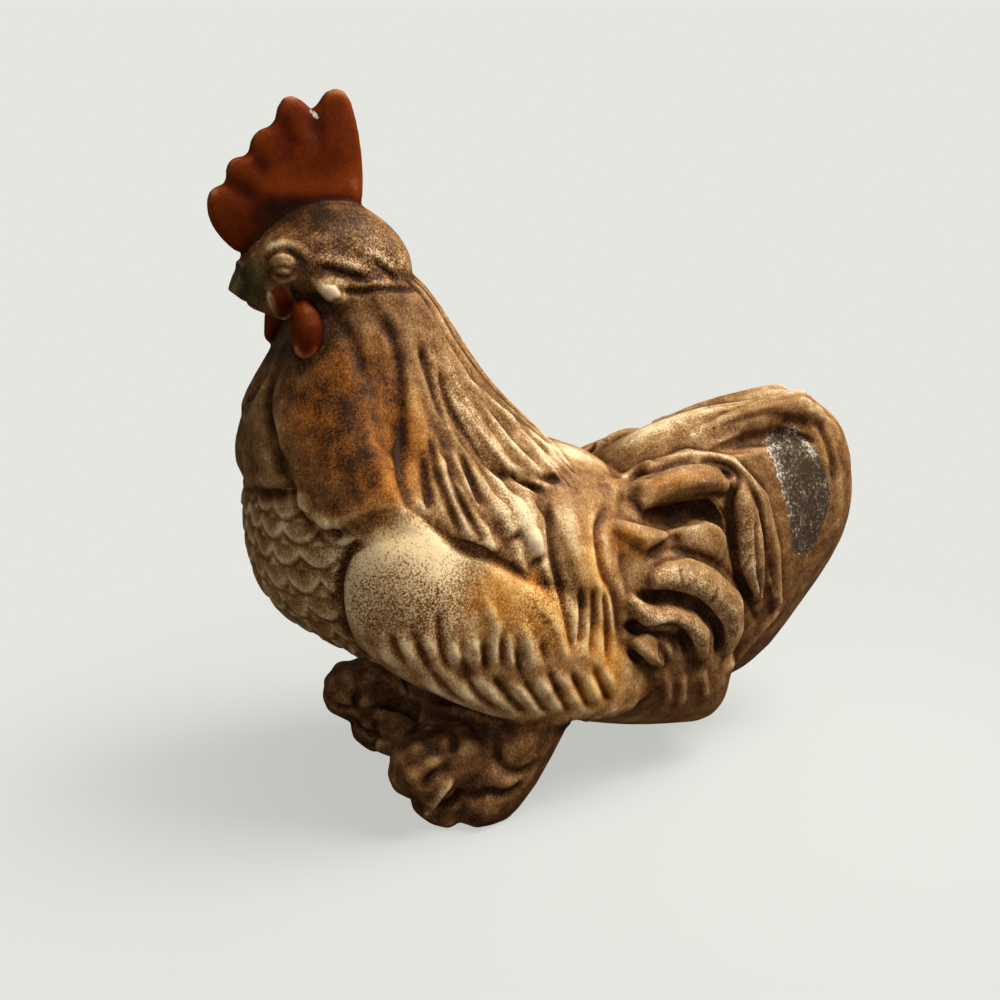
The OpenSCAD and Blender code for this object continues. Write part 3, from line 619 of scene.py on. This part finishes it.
hackle_slit = [(511, 473), (522, 481), (544, 492)]
hackle_ridges = [
    [(432, 450), (443, 478), (455, 508), (470, 535)],
    [(450, 446), (462, 474), (475, 500), (487, 516)],
    [(456, 400), (474, 424), (492, 447), (510, 466), (530, 472)],
    [(468, 380), (487, 398), (514, 421), (542, 442), (560, 453)],
]
hackle_tips = [[(503, 512)], [(522, 503), (528, 516)], [(534, 541)], [(516, 528)], [(484, 536), (490, 545)]]
tip_gaps = [[(508, 541), (521, 533)], [(530, 566), (547, 556)]]
hackle_edge = [(414, 511), (437, 527), (461, 546), (489, 556), (513, 569), (537, 583), (556, 589)]
strand_pitch = 4.5 * mm
strand_relief = 1.3 * mm
strand_wander = 0.12
strand_facing = (0.6, 0, 0.8)
painted_bib_shade = [[(320, 350), (345, 395)], [(345, 440), (360, 490)]]
groove_shade = [(385, 340), (398, 420), (405, 490)]
hackle_flecks = [[(430, 340), (470, 420), (520, 460)], [(510, 520)]]
painted_hackle_highlight = [(430, 340), (470, 410), (520, 460)]
painted_tip_highlight = [(500, 492), (520, 510), (530, 545)]
painted_cape_highlight = [(505, 438), (530, 450), (556, 462)]
bib_honey = [[(330, 420), (370, 470)], [(360, 380), (395, 440)]]


def wandering(slow, quick, side):
    """Two waves down the skin, so that what follows them wanders as if drawn by hand."""
    down = clay.points[:, 2]
    return np.sin(down / slow) + np.sin(down / quick + clay.points[:, 1] / side)


def strands(across):
    """Round strands a unit apart, with a sharp furrow between each two."""
    return abs(np.sin(math.pi * across)) - 0.7


neck_low, neck_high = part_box("neck")
fallen = (neck_high.z - clay.points[:, 2]) / (neck_high.z - neck_low.z)
across = clay.points[:, 1] / (strand_pitch * (0.8 + fallen))
across = across + strand_wander * wandering(9 * mm, 5 * mm, 4 * mm)
behind = clay.normals @ np.array(strand_facing)
faded = eased((0.85 - abs(clay.normals[:, 1])) / 0.3) * eased(behind * 2) * eased(fallen * 9)
clay.lift += strand_relief * strands(across) * faded * clay.of("neck")
clay.press([bib_lip], width=3.6 * mm, height=1.4 * mm)
clay.press([under_bib], width=3.0 * mm, height=-1.8 * mm)
clay.press([panel_groove], width=2.6 * mm, height=-1.4 * mm)
clay.press([bib_groove], width=2.8 * mm, height=-2.2 * mm)
clay.press([wing_crease], width=4.0 * mm, height=-1.0 * mm)
clay.press([throat_groove], width=3.4 * mm, height=-1.5 * mm)
clay.press(hackle_grooves, width=1.9 * mm, height=-2.0 * mm)
clay.press([hackle_slit], width=1.3 * mm, height=-2.8 * mm)
clay.press(hackle_ridges, width=2.2 * mm, height=1.2 * mm)
clay.press(hackle_tips, width=5.0 * mm, height=2.2 * mm)
clay.press(tip_gaps, width=1.6 * mm, height=-1.8 * mm)
clay.press([hackle_edge], width=2.6 * mm, height=-2.0 * mm)
# Painted shade on the front of the bib, which faces away from the lamp.
clay.wash("wiped", painted_bib_shade, width=16 * mm, strength=-0.21)
clay.wash("wiped", [groove_shade], width=6 * mm, strength=-0.12)
clay.wash("flecked", hackle_flecks, width=12 * mm, strength=0.5)
# Painted highlights on the back of the neck, the hackle tips and the top of the cape, which face the lamp.
clay.wash("wiped", [painted_hackle_highlight], width=10 * mm, strength=0.12)
clay.wash("wiped", [painted_tip_highlight], width=9 * mm, strength=0.36)
clay.wash("wiped", [painted_cape_highlight], width=8 * mm, strength=0.22)
clay.wash("amber", bib_honey, width=18 * mm, strength=0.8)
clay.dip("neck", "brown_glaze", wiped=0.30)

# Head. A solid press-moulded skull with brows, eyes, cheeks and a ruff of short nape feathers, luted to
# the neck. The glaze is wiped nearly off its raised feathers, and pools brown round the comb.
brow = [(262, 258), (268, 250), (278, 246), (290, 245), (303, 252), (312, 260)]
upper_lid = [(269, 268), (272, 260), (281, 256), (292, 259), (300, 266)]
lower_lid = [(270, 271), (277, 279), (288, 281), (298, 275)]
eye_slit = [(273, 268), (283, 267), (293, 271)]
cheek_crease = [(290, 287), (296, 295), (299, 303)]
cheek_rim = [(269, 294), (272, 305), (281, 318), (294, 314)]
nape_ridges = [
    [(310, 259), (337, 261), (357, 268), (376, 277)],
    [(332, 277), (357, 286), (390, 284)],
    [(360, 245), (380, 262), (398, 276)],
]
nape_grooves = [
    [(320, 266), (341, 272), (363, 278)],
    [(341, 290), (360, 292), (385, 289), (416, 289)],
    [(371, 257), (390, 274), (399, 283)],
]
comb_band = [(250, 232), (262, 216), (280, 211), (300, 213), (325, 218), (345, 222), (360, 214)]
throat_shade = [(272, 322), (283, 345), (290, 372)]
painted_wattle_shade = [(332, 318), (338, 345)]
nape_shade = [(342, 287), (372, 291), (414, 289)]
crown_shade = [(318, 216), (340, 217), (357, 216)]
eye_glint_and_pale_face = [[(265, 248), (285, 246)], [(287, 271)], [(332, 291)], cheek_rim]
face_shades = [[(300, 235), (340, 240)], [(270, 285), (310, 290)]]
nape_flecks = [[(370, 235), (390, 260)], [(330, 255), (370, 270)]]
cheek_red = [(280, 296), (284, 314)]
cheek_light = [(276, 292), (285, 300), (291, 309)]
cheek_edge = [(268, 290), (274, 303), (283, 317), (294, 313)]

materials["cream_glaze"] = glaze("cream_glaze", sheen=0.08)
clay.press([brow], width=2.0 * mm, height=1.3 * mm)
clay.press([upper_lid, lower_lid], width=1.1 * mm, height=0.6 * mm)
clay.press([eye_slit], width=1.0 * mm, height=-0.9 * mm)
clay.press([cheek_crease], width=1.3 * mm, height=-1.4 * mm)
clay.press([cheek_rim], width=0.9 * mm, height=0.8 * mm)
clay.press(nape_ridges, width=2.4 * mm, height=1.2 * mm)
clay.press(nape_grooves, width=1.4 * mm, height=-1.6 * mm)
clay.wash("wiped", [comb_band], width=4.5 * mm, strength=-0.34)
clay.wash("wiped", [crown_shade], width=5 * mm, strength=-0.2)
clay.wash("wiped", [throat_shade], width=6 * mm, strength=-0.3)
# Painted shade under the wattle; the nape groove is darkened along with it.
clay.wash("wiped", [painted_wattle_shade, nape_shade], width=3.5 * mm, strength=-0.2)
# A painted glint on the eye, and paler glaze on the brow, the ear lobe and the cheek rim.
clay.wash("wiped", eye_glint_and_pale_face, width=2.5 * mm, strength=0.2)
clay.wash("wiped", face_shades, width=8 * mm, strength=-0.12)
clay.wash("flecked", nape_flecks, width=9 * mm, strength=0.7)
clay.wash("red", [cheek_red], width=4.5 * mm, strength=1.0)
clay.wash("wiped", [cheek_light], width=3.5 * mm, strength=0.3)
clay.wash("wiped", [cheek_edge], width=1.0 * mm, strength=0.4)
clay.dip("head", "cream_glaze", wiped=0.27)

# Beak. A small hooked tip that is pressed on the front of the head. It takes the dark glaze of the feet,
# with a little olive.
beak_mouth = [(232, 298), (246, 303), (258, 308)]
beak_sides = [[(236, 285), (248, 272)], [(240, 295), (255, 290)]]

materials["dark_glaze"] = glaze("dark_glaze", sheen=0.08)
clay.press([beak_mouth], width=0.9 * mm, height=-0.8 * mm)
clay.wash("olive", beak_sides, width=6 * mm, strength=0.9)
clay.dip("beak", "dark_glaze", wiped=0.25)

# Comb. A solid single comb with five points, cut from a slab and set in the top of the head. It is glazed
# brick red, more orange towards its root, and worn pale on its points.
comb_dents = [
    [(318, 108), (316, 128)], [(282, 122), (292, 140)], [(248, 152), (262, 166)], [(232, 184), (246, 192)],
]
comb_points = [
    [(332, 91), (344, 92)], [(288, 97), (300, 97)], [(250, 158)], [(232, 158), (240, 152)], [(214, 192)],
]
comb_glow = [(285, 188), (320, 192), (352, 184)]
comb_root = [(254, 214), (268, 205), (300, 203), (355, 204)]
comb_chip_and_glint = [(311, 110), (317, 117)]

materials["red_glaze"] = glaze("red_glaze", sheen=0.03)
clay.press(comb_dents, width=3 * mm, height=-0.6 * mm)
clay.wash("wiped", comb_points, width=1.4 * mm, strength=0.26)
clay.wash("wiped", [comb_glow], width=7 * mm, strength=0.30)
clay.wash("wiped", [comb_root], width=3.5 * mm, strength=-0.35)
# A chip worn through the comb's glaze; its pale crumbs also stand for a painted glint.
clay.wash("worn", [comb_chip_and_glint], width=1.2 * mm, strength=0.7, both=False)
clay.wash("chalky", [comb_chip_and_glint], width=1.2 * mm, strength=0.7, both=False)
clay.tint("red", "comb", strength=1, blur=1 * mm)
clay.dip("comb", "red_glaze", wiped=0.37)

# Wattles. Two drops of clay that are pressed under the cheeks. They are glazed as the comb is, with a
# paler rim.
wattle_rim = [(295, 343), (298, 352), (304, 357), (311, 355), (318, 345)]
wattle_top = [(305, 304), (311, 314)]

clay.press([wattle_rim], width=1.2 * mm, height=0.9 * mm)
clay.wash("wiped", [wattle_rim], width=1.8 * mm, strength=0.45)
clay.wash("wiped", [wattle_top], width=3 * mm, strength=0.2)
clay.tint("red", "wattle", strength=1, blur=1 * mm)
clay.dip("wattle", "red_glaze", wiped=0.42)

# Ear lobes. Two small ovals of clay behind the cheeks, each pressed on with a thumb, so that a crease runs
# round it. They have the head's cream glaze, wiped paler.
lobe_crease = [(322, 284), (332, 283), (342, 290), (341, 299), (332, 303)]
lobe_middle = [(327, 289), (336, 296)]

clay.press([lobe_crease], width=1.0 * mm, height=-0.7 * mm)
clay.wash("wiped", [lobe_middle], width=3.0 * mm, strength=0.12)
clay.dip("ear_lobe", "cream_glaze", wiped=0.52)

# Wings. Two solid press-moulded wings that are luted to the torso's sides, each with a smooth shoulder, a
# row of short coverts and long flight feathers below them.
coverts = [
    [(378, 636), (386, 655), (396, 668)],
    [(399, 637), (410, 655), (421, 667)],
    [(423, 632), (433, 660)],
    [(452, 643), (463, 658), (474, 668)],
    [(470, 636), (478, 652), (480, 668)],
    [(485, 597), (496, 630), (493, 668)],
    [(506, 640), (512, 660)],
    [(520, 622), (529, 648), (535, 672)],
    [(537, 601), (556, 628), (566, 662)],
]
covert_gaps = [
    [(390, 632), (398, 652), (407, 668)],
    [(412, 630), (424, 655), (430, 672)],
    [(438, 612), (442, 650), (450, 672)],
    [(461, 640), (464, 662), (474, 680)],
    [(482, 640), (486, 672)],
    [(500, 632), (504, 668)],
    [(515, 648), (522, 676)],
    [(541, 640), (548, 664)],
]
flight_ridges = [
    [(420, 676), (436, 690), (452, 697)],
    [(444, 664), (460, 690), (477, 702)],
    [(476, 678), (498, 700), (513, 711)],
    [(509, 680), (528, 700), (538, 711)],
    [(537, 675), (549, 694), (559, 708)],
    [(560, 675), (572, 696), (580, 708)],
    [(583, 672), (593, 690), (601, 705)],
    [(603, 668), (614, 690)],
]
flight_gaps = [
    [(432, 672), (450, 694), (464, 704)],
    [(462, 672), (480, 697), (496, 710)],
    [(494, 678), (514, 703), (526, 714)],
    [(524, 680), (540, 704), (549, 714)],
    [(549, 672), (562, 698), (570, 712)],
    [(572, 672), (584, 698), (591, 709)],
    [(594, 668), (605, 692), (609, 702)],
]
wing_rim = [(350, 645), (364, 662), (409, 694), (452, 711), (499, 721), (534, 724), (581, 721), (617, 709)]
shoulder_dip = [(455, 552), (470, 575), (468, 600)]
wing_hem = [(450, 708), (467, 711), (484, 716)]
wing_front = [(366, 537), (351, 553), (343, 575), (342, 604), (349, 638)]
wing_brow = [(372, 546), (360, 562), (354, 585), (356, 612)]
shoulder_swell = [(388, 572)]
elbow_swell = [(525, 603)]
painted_shoulder_highlight = [(366, 560), (380, 540), (405, 534), (440, 556)]
shoulder_glaze_and_painted_shade = [(370, 590), (400, 600)]
shoulder_olive = [(365, 585), (385, 605)]
covert_glaze_and_painted_shade = [(400, 660), (470, 670), (560, 676)]
wing_flecks = [[(360, 570), (400, 560), (440, 575)], [(375, 605), (430, 610)], [(545, 610)]]
elbow_honey = [(500, 596), (525, 606)]
rear_honey = [[(540, 600), (560, 640)], [(580, 690), (610, 690)]]

materials["ochre_glaze"] = glaze("ochre_glaze", sheen=0.08)
clay.press([wing_brow], width=7 * mm, height=1.6 * mm)
clay.press([wing_front], width=2.2 * mm, height=-2.2 * mm)
clay.wash("wiped", [wing_front], width=3.5 * mm, strength=-0.3)
clay.press([shoulder_swell], width=17 * mm, height=1.8 * mm)
clay.press([elbow_swell], width=14 * mm, height=1.6 * mm)
clay.press([shoulder_dip], width=9 * mm, height=-1.6 * mm)
clay.press(coverts, width=2.4 * mm, height=1.3 * mm)
clay.press(covert_gaps, width=1.7 * mm, height=-1.7 * mm)
clay.press(flight_ridges, width=2.2 * mm, height=1.0 * mm)
clay.press(flight_gaps, width=1.5 * mm, height=-1.6 * mm)
clay.press([wing_rim], width=2.2 * mm, height=0.8 * mm)
clay.press([wing_hem], width=3.0 * mm, height=1.4 * mm)
# Painted highlight along the top of the shoulder, which faces the lamp.
clay.wash("wiped", [painted_shoulder_highlight], width=11 * mm, strength=0.40)
# Darker glaze low on the shoulder and along the coverts' lower edge, with painted shade where they face
# down.
clay.wash("wiped", [shoulder_glaze_and_painted_shade], width=11 * mm, strength=-0.10)
clay.wash("wiped", [covert_glaze_and_painted_shade], width=5 * mm, strength=-0.14)
clay.wash("flecked", wing_flecks, width=14 * mm, strength=1.0)
clay.wash("olive", [shoulder_olive], width=9 * mm, strength=0.35)
clay.wash("amber", [elbow_honey], width=10 * mm, strength=0.9)
clay.wash("amber", rear_honey, width=9 * mm, strength=0.5)
clay.tint("amber", "wing", strength=0.32, blur=3 * mm)
clay.dip("wing", "ochre_glaze", wiped=0.55, soft=0.15)

# Saddle. A strap of clay that is laid over the back behind the cape and runs down each side in soft folds
# of feathers, under the wings' ochre glaze.
saddle_folds = [[(565, 505), (574, 560), (578, 605)], [(590, 520), (592, 570), (600, 612)]]
saddle_grooves = [
    [(548, 508), (554, 560), (566, 612), (574, 652)],
    [(580, 585), (583, 620), (580, 648)],
    [(592, 585), (595, 620), (592, 655)],
    [(604, 590), (608, 625), (609, 660)],
]
tail_crease = [(607, 505), (598, 535), (603, 571), (616, 596), (622, 640)]
fold_honey = [[(589, 530), (596, 575), (602, 610)], [(600, 640), (612, 660)]]
painted_back_highlight = [(545, 448), (575, 452), (600, 460)]
fold_light = [(564, 490), (570, 540), (576, 590)]

clay.press(saddle_folds, width=5 * mm, height=1.6 * mm)
clay.press(saddle_grooves, width=1.8 * mm, height=-2.2 * mm)
clay.press([tail_crease], width=2.6 * mm, height=-2.6 * mm)
clay.wash("amber", fold_honey, width=6 * mm, strength=0.9)
# Painted highlight on the top of the back, which the lamp lights from above.
clay.wash("wiped", [painted_back_highlight], width=9 * mm, strength=0.5)
clay.wash("wiped", [fold_light], width=6 * mm, strength=0.14)
clay.tint("amber", "saddle", strength=0.32, blur=3 * mm)
clay.dip("saddle", "ochre_glaze", wiped=0.43)

# Tail. A hollow casting that is luted over the rump, with a rolled upper edge and deep hollows between the
# curled feathers. Near its end a patch has lost its glaze.
top_roll = [(612, 450), (645, 430), (690, 414), (738, 405), (785, 391), (806, 398)]
under_roll = [(700, 432), (727, 424), (748, 417), (772, 414), (797, 420)]
hollow = [(640, 523), (668, 518), (698, 509), (716, 516), (722, 528)]
side_hollow = [(648, 560), (660, 549), (672, 541)]
end_roll = [(806, 405), (824, 440), (838, 490), (834, 540)]
worn_middle = [(790, 450), (797, 475), (804, 505), (806, 532)]
worn_side = [(800, 442), (817, 472), (824, 500), (818, 524)]
chalky_edge = [(776, 438), (773, 470), (779, 500), (788, 530)]
chalky_top = [(784, 432), (804, 438), (817, 462)]
end_crease = [(815, 418), (826, 440), (832, 462), (834, 486)]
lower_edge = [(724, 672), (742, 652), (761, 630), (780, 609)]
painted_stump_shade = [(650, 690), (700, 690), (725, 685)]
stump_folds = [[(667, 676), (668, 705)], [(683, 672), (682, 706)], [(703, 668), (706, 700)]]
roll_highlight_and_flecks = [(645, 432), (690, 425), (715, 430)]
crease_pitch = 6.5 * mm
crease_relief = 1.1 * mm
crease_wander = 0.2
crease_facing = (0.9, 0, 0.44)

across = clay.points[:, 1] / crease_pitch + crease_wander * wandering(17 * mm, 8 * mm, 6 * mm)
behind = clay.normals @ np.array(crease_facing)
faded = eased((0.8 - abs(clay.normals[:, 1])) / 0.3) * eased(behind * 2 - 0.3)
clay.lift += crease_relief * strands(across) * faded * clay.of("tail")
clay.press([top_roll], width=5 * mm, height=0.8 * mm)
clay.press([under_roll], width=3.4 * mm, height=-1.6 * mm)
clay.press([end_crease], width=2.8 * mm, height=-2.4 * mm)
clay.press([hollow], width=4.5 * mm, height=-3.5 * mm)
clay.press([side_hollow], width=3.0 * mm, height=-2.0 * mm)
clay.press([end_roll], width=5 * mm, height=1.5 * mm)
clay.press([lower_edge], width=3 * mm, height=1.4 * mm)
clay.press(stump_folds, width=2.2 * mm, height=1.4 * mm)
clay.press([worn_middle], width=11 * mm, height=-0.8 * mm)
clay.wash("worn", [worn_middle], width=14 * mm, strength=0.86, both=False)
clay.wash("worn", [worn_side], width=6 * mm, strength=0.55, both=False)
clay.wash("chalky", [chalky_edge], width=6 * mm, strength=1.0, both=False)
clay.wash("chalky", [chalky_top], width=2.4 * mm, strength=0.7, both=False)
# Painted shade on the low stump under the tail.
clay.wash("wiped", [painted_stump_shade], width=14 * mm, strength=-0.26)
# Painted highlight along the tail's top roll, which faces the lamp; the front of the roll is flecked as
# well.
clay.wash("wiped", [top_roll], width=6 * mm, strength=0.26)
clay.wash("wiped", [roll_highlight_and_flecks], width=9 * mm, strength=0.16)
clay.wash("flecked", [roll_highlight_and_flecks], width=9 * mm, strength=0.5)
# Painted shade under the top roll and in the crease by the tail's end.
clay.wash("wiped", [under_roll, end_crease], width=4 * mm, strength=-0.15)
clay.dip("tail", "brown_glaze", wiped=0.32, soft=0.15)

# Sickles. Curled tail feathers that are rolled out and pressed on the sides of the tail, pale where they
# stand up, with cracks across the largest.
rib = [
    (620, 481), (643, 464), (672, 457), (700, 454), (726, 458), (747, 474), (759, 493), (765, 520),
    (767, 573), (776, 600),
]
inside_rib = [
    (631, 476), (662, 467), (695, 461), (726, 465), (740, 479), (729, 502), (731, 540), (738, 573),
    (750, 600),
]
leaf = [(744, 488), (743, 520), (745, 550), (749, 575), (754, 596)]
outer_leaf = [(768, 575), (775, 602)]
outside_leaf = [(757, 520), (759, 571), (763, 592), (757, 603)]
arch = [(629, 493), (653, 486), (680, 480), (705, 476), (722, 484)]
gold_ridges = [[(606, 519), (624, 530), (640, 536), (652, 537)], [(622, 545), (634, 552), (644, 548)]]
claw = [(648, 580), (672, 575), (695, 585), (719, 601), (731, 620), (731, 641), (724, 653)]
under_claw = [(636, 594), (655, 597), (675, 594), (697, 602), (714, 620), (719, 638), (717, 655)]
over_claw = [(644, 560), (664, 549), (694, 552), (724, 568), (746, 594), (757, 622)]
small_claw = [(629, 597), (640, 612), (657, 620), (680, 619), (694, 632), (700, 655)]
under_small_claw = [(624, 625), (648, 630), (674, 628), (686, 640), (688, 656)]
leaflets = [[(634, 643), (656, 662)], [(662, 638), (672, 659)], [(645, 637), (657, 643)]]
leaflet_gaps = [[(628, 650), (645, 664)], [(656, 640), (664, 662)]]
curl_boss = [(704, 546)]
cracks = [[(679, 566), (681, 585)], [(717, 588), (709, 604)], [(752, 555), (741, 572)]]

clay.press([curl_boss], width=7.5 * mm, height=2.0 * mm)
clay.press([claw], width=6.0 * mm, height=1.2 * mm)
clay.press([small_claw], width=3.4 * mm, height=0.8 * mm)
clay.press([arch], width=4.0 * mm, height=0.8 * mm)
clay.press([rib], width=1.5 * mm, height=0.8 * mm)
clay.press([leaf[:3]], width=4.0 * mm, height=1.0 * mm)
clay.press([outer_leaf], width=3.0 * mm, height=1.4 * mm)
clay.press(gold_ridges, width=3.2 * mm, height=1.0 * mm)
clay.press(leaflets, width=2.4 * mm, height=1.8 * mm)
clay.press([inside_rib, outside_leaf], width=1.6 * mm, height=-1.8 * mm)
clay.press([under_claw, under_small_claw], width=2.2 * mm, height=-2.6 * mm)
clay.press([over_claw], width=1.6 * mm, height=-0.9 * mm)
clay.press(leaflet_gaps, width=1.8 * mm, height=-2.0 * mm)
clay.press(cracks, width=0.8 * mm, height=-0.9 * mm)
clay.wash("wiped", [claw, leaf[2:], outer_leaf], width=5 * mm, strength=0.08)
clay.wash("flecked", [claw, small_claw, leaf], width=5 * mm, strength=0.5)
clay.wash("amber", gold_ridges + [arch], width=5 * mm, strength=0.6)
clay.dip("sickles", "cream_glaze", wiped=0.36, soft=0.35)

# Feet. Two solid press-moulded feet with feathers over the toes, ground flat underneath, that carry the
# torso. The glaze is left dark on them.
near_foot_lumps = [[(518, 748)], [(485, 812)], [(484, 774), (504, 780)], [(470, 752)]]
near_foot_tips = [[(433, 764)], [(413, 776)], [(449, 823)], [(415, 750)], [(444, 744)]]
near_foot_ridge = [(453, 778), (441, 792), (431, 806), (426, 818)]
near_foot_grooves = [
    [(497, 734), (496, 752), (505, 768), (522, 772), (537, 762)],
    [(462, 786), (449, 804), (441, 818)],
    [(468, 798), (488, 791), (508, 792), (524, 781)],
    [(424, 792), (431, 777), (446, 766)],
    [(455, 738), (452, 756)],
]
far_foot_lumps = [
    [(367, 702)], [(344, 700)], [(380, 711)], [(363, 726)], [(369, 678)], [(381, 740)], [(347, 680)],
]
far_foot_grooves = [
    [(358, 690), (356, 706), (366, 712)],
    [(335, 705), (354, 709)],
    [(352, 718), (369, 733), (390, 739)],
]

clay.press(near_foot_lumps, width=6.0 * mm, height=2.0 * mm)
clay.press(near_foot_tips, width=3.5 * mm, height=1.6 * mm)
clay.press([near_foot_ridge], width=2.0 * mm, height=2.2 * mm)
clay.press(near_foot_grooves, width=2.0 * mm, height=-2.4 * mm)
clay.wash("wiped", [near_foot_ridge], width=2.4 * mm, strength=0.2)
clay.press(far_foot_lumps, width=3.4 * mm, height=1.6 * mm)
clay.press(far_foot_grooves, width=1.6 * mm, height=-1.8 * mm)
clay.dip("foot", "dark_glaze", wiped=0.14, soft=0.25)

# Cutting. The finished figure is stained by its relief and cut along its seams into castings and sprigs.
# Each becomes a closed shell that is plainer inside, and takes its node's place on the one fired body.

# The radius over which relief is taken, the height that stains most of the way, and the stain's strength.
relief_stains = [(2.2 * mm, 0.35 * mm, 0.24), (6.5 * mm, 1.5 * mm, 0.36)]
dip_blur = 3 * mm
seam_width = 2.5 * mm
seam_stain = 0.12
pool_level = 0.12
pool_share = 0.6
shell = 2 * mm
plain_share = 0.6


def harden(piece):
    """A closed shell from a cut of the skin, with a plain inside and the whole skin's normals outside."""
    outside = len(piece.data.vertices)
    wall = piece.modifiers.new("shell", "SOLIDIFY")
    wall.thickness = shell
    wall.offset = -1
    bpy.context.view_layer.objects.active = piece
    bpy.ops.object.modifier_apply(modifier="shell")
    inside = list(range(outside, len(piece.data.vertices)))
    piece.vertex_groups.new(name="inside").add(inside, 1, "REPLACE")
    lay = np.empty(len(piece.data.vertices) * 3)
    piece.data.attributes["lay"].data.foreach_get("vector", lay)
    lay[3 * outside:] = 0
    piece.data.attributes["lay"].data.foreach_set("vector", lay)
    plain = piece.modifiers.new("plain", "DECIMATE")
    plain.ratio = plain_share
    plain.vertex_group = "inside"
    bpy.ops.object.modifier_apply(modifier="plain")
    piece.vertex_groups.clear()
    corners = np.empty(len(piece.data.loops), int)
    piece.data.loops.foreach_get("vertex_index", corners)
    lay = np.empty(len(piece.data.vertices) * 3)
    piece.data.attributes["lay"].data.foreach_get("vector", lay)
    piece.data.normals_split_custom_set(lay.reshape(-1, 3)[corners].tolist())


clay.settle()
stain = np.zeros(len(clay.points))
for radius, height, strength in relief_stains:
    relief = ((clay.points - clay.smoothed(radius)) * clay.normals).sum(1)
    stain += strength * np.tanh(relief / height)
level = sum(wiped * clay.of(kind) for kind, (slot, wiped, soft) in clay.dips.items())
softness = sum(soft * clay.of(kind) for kind, (slot, wiped, soft) in clay.dips.items())
# The tone: washes with painted light and shade, each piece's level, and the stains of relief and seams.
shade = clay.glazes["wiped"]
shade += clay.spread(level, dip_blur) + stain * (1 - clay.spread(softness, dip_blur))
shade -= seam_stain * np.exp(-(clay.seam / seam_width) ** 2)
shade += pool_share * np.maximum(pool_level - shade, 0)

data = clay.piece.data
for name, values in clay.glazes.items():
    layer = data.attributes.new(name, "FLOAT", "POINT")
    layer.data.foreach_set("value", values.astype(np.float32))
owner = data.attributes.new("owner", "INT", "FACE")
first = np.array([face.vertices[0] for face in data.polygons])
owner.data.foreach_set("value", clay.label[first].astype(np.int32))
lay = data.attributes.new("lay", "FLOAT_VECTOR", "POINT")
lay.data.foreach_set("vector", clay.normals.astype(np.float32).ravel())
data.polygons.foreach_set("use_smooth", np.ones(len(data.polygons), bool))
data.polygons.foreach_set("material_index", clay.label[first].astype(np.int32))
slot_of = {}
for name in clay.names:
    slot_of[name] = next(dip[0] for kind, dip in clay.dips.items() if name.endswith(kind))
    data.materials.append(materials[slot_of[name]])
bpy.ops.object.select_all(action="DESELECT")
bpy.context.view_layer.objects.active = clay.piece
clay.piece.select_set(True)
bpy.ops.object.mode_set(mode="EDIT")
bpy.ops.mesh.separate(type="MATERIAL")
bpy.ops.object.mode_set(mode="OBJECT")
for piece in list(bpy.context.selected_objects):
    name = clay.names[piece.data.attributes["owner"].data[0].value]
    piece.name = name + "_ware"
    harden(piece)
    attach(piece, "root")
    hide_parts(name)
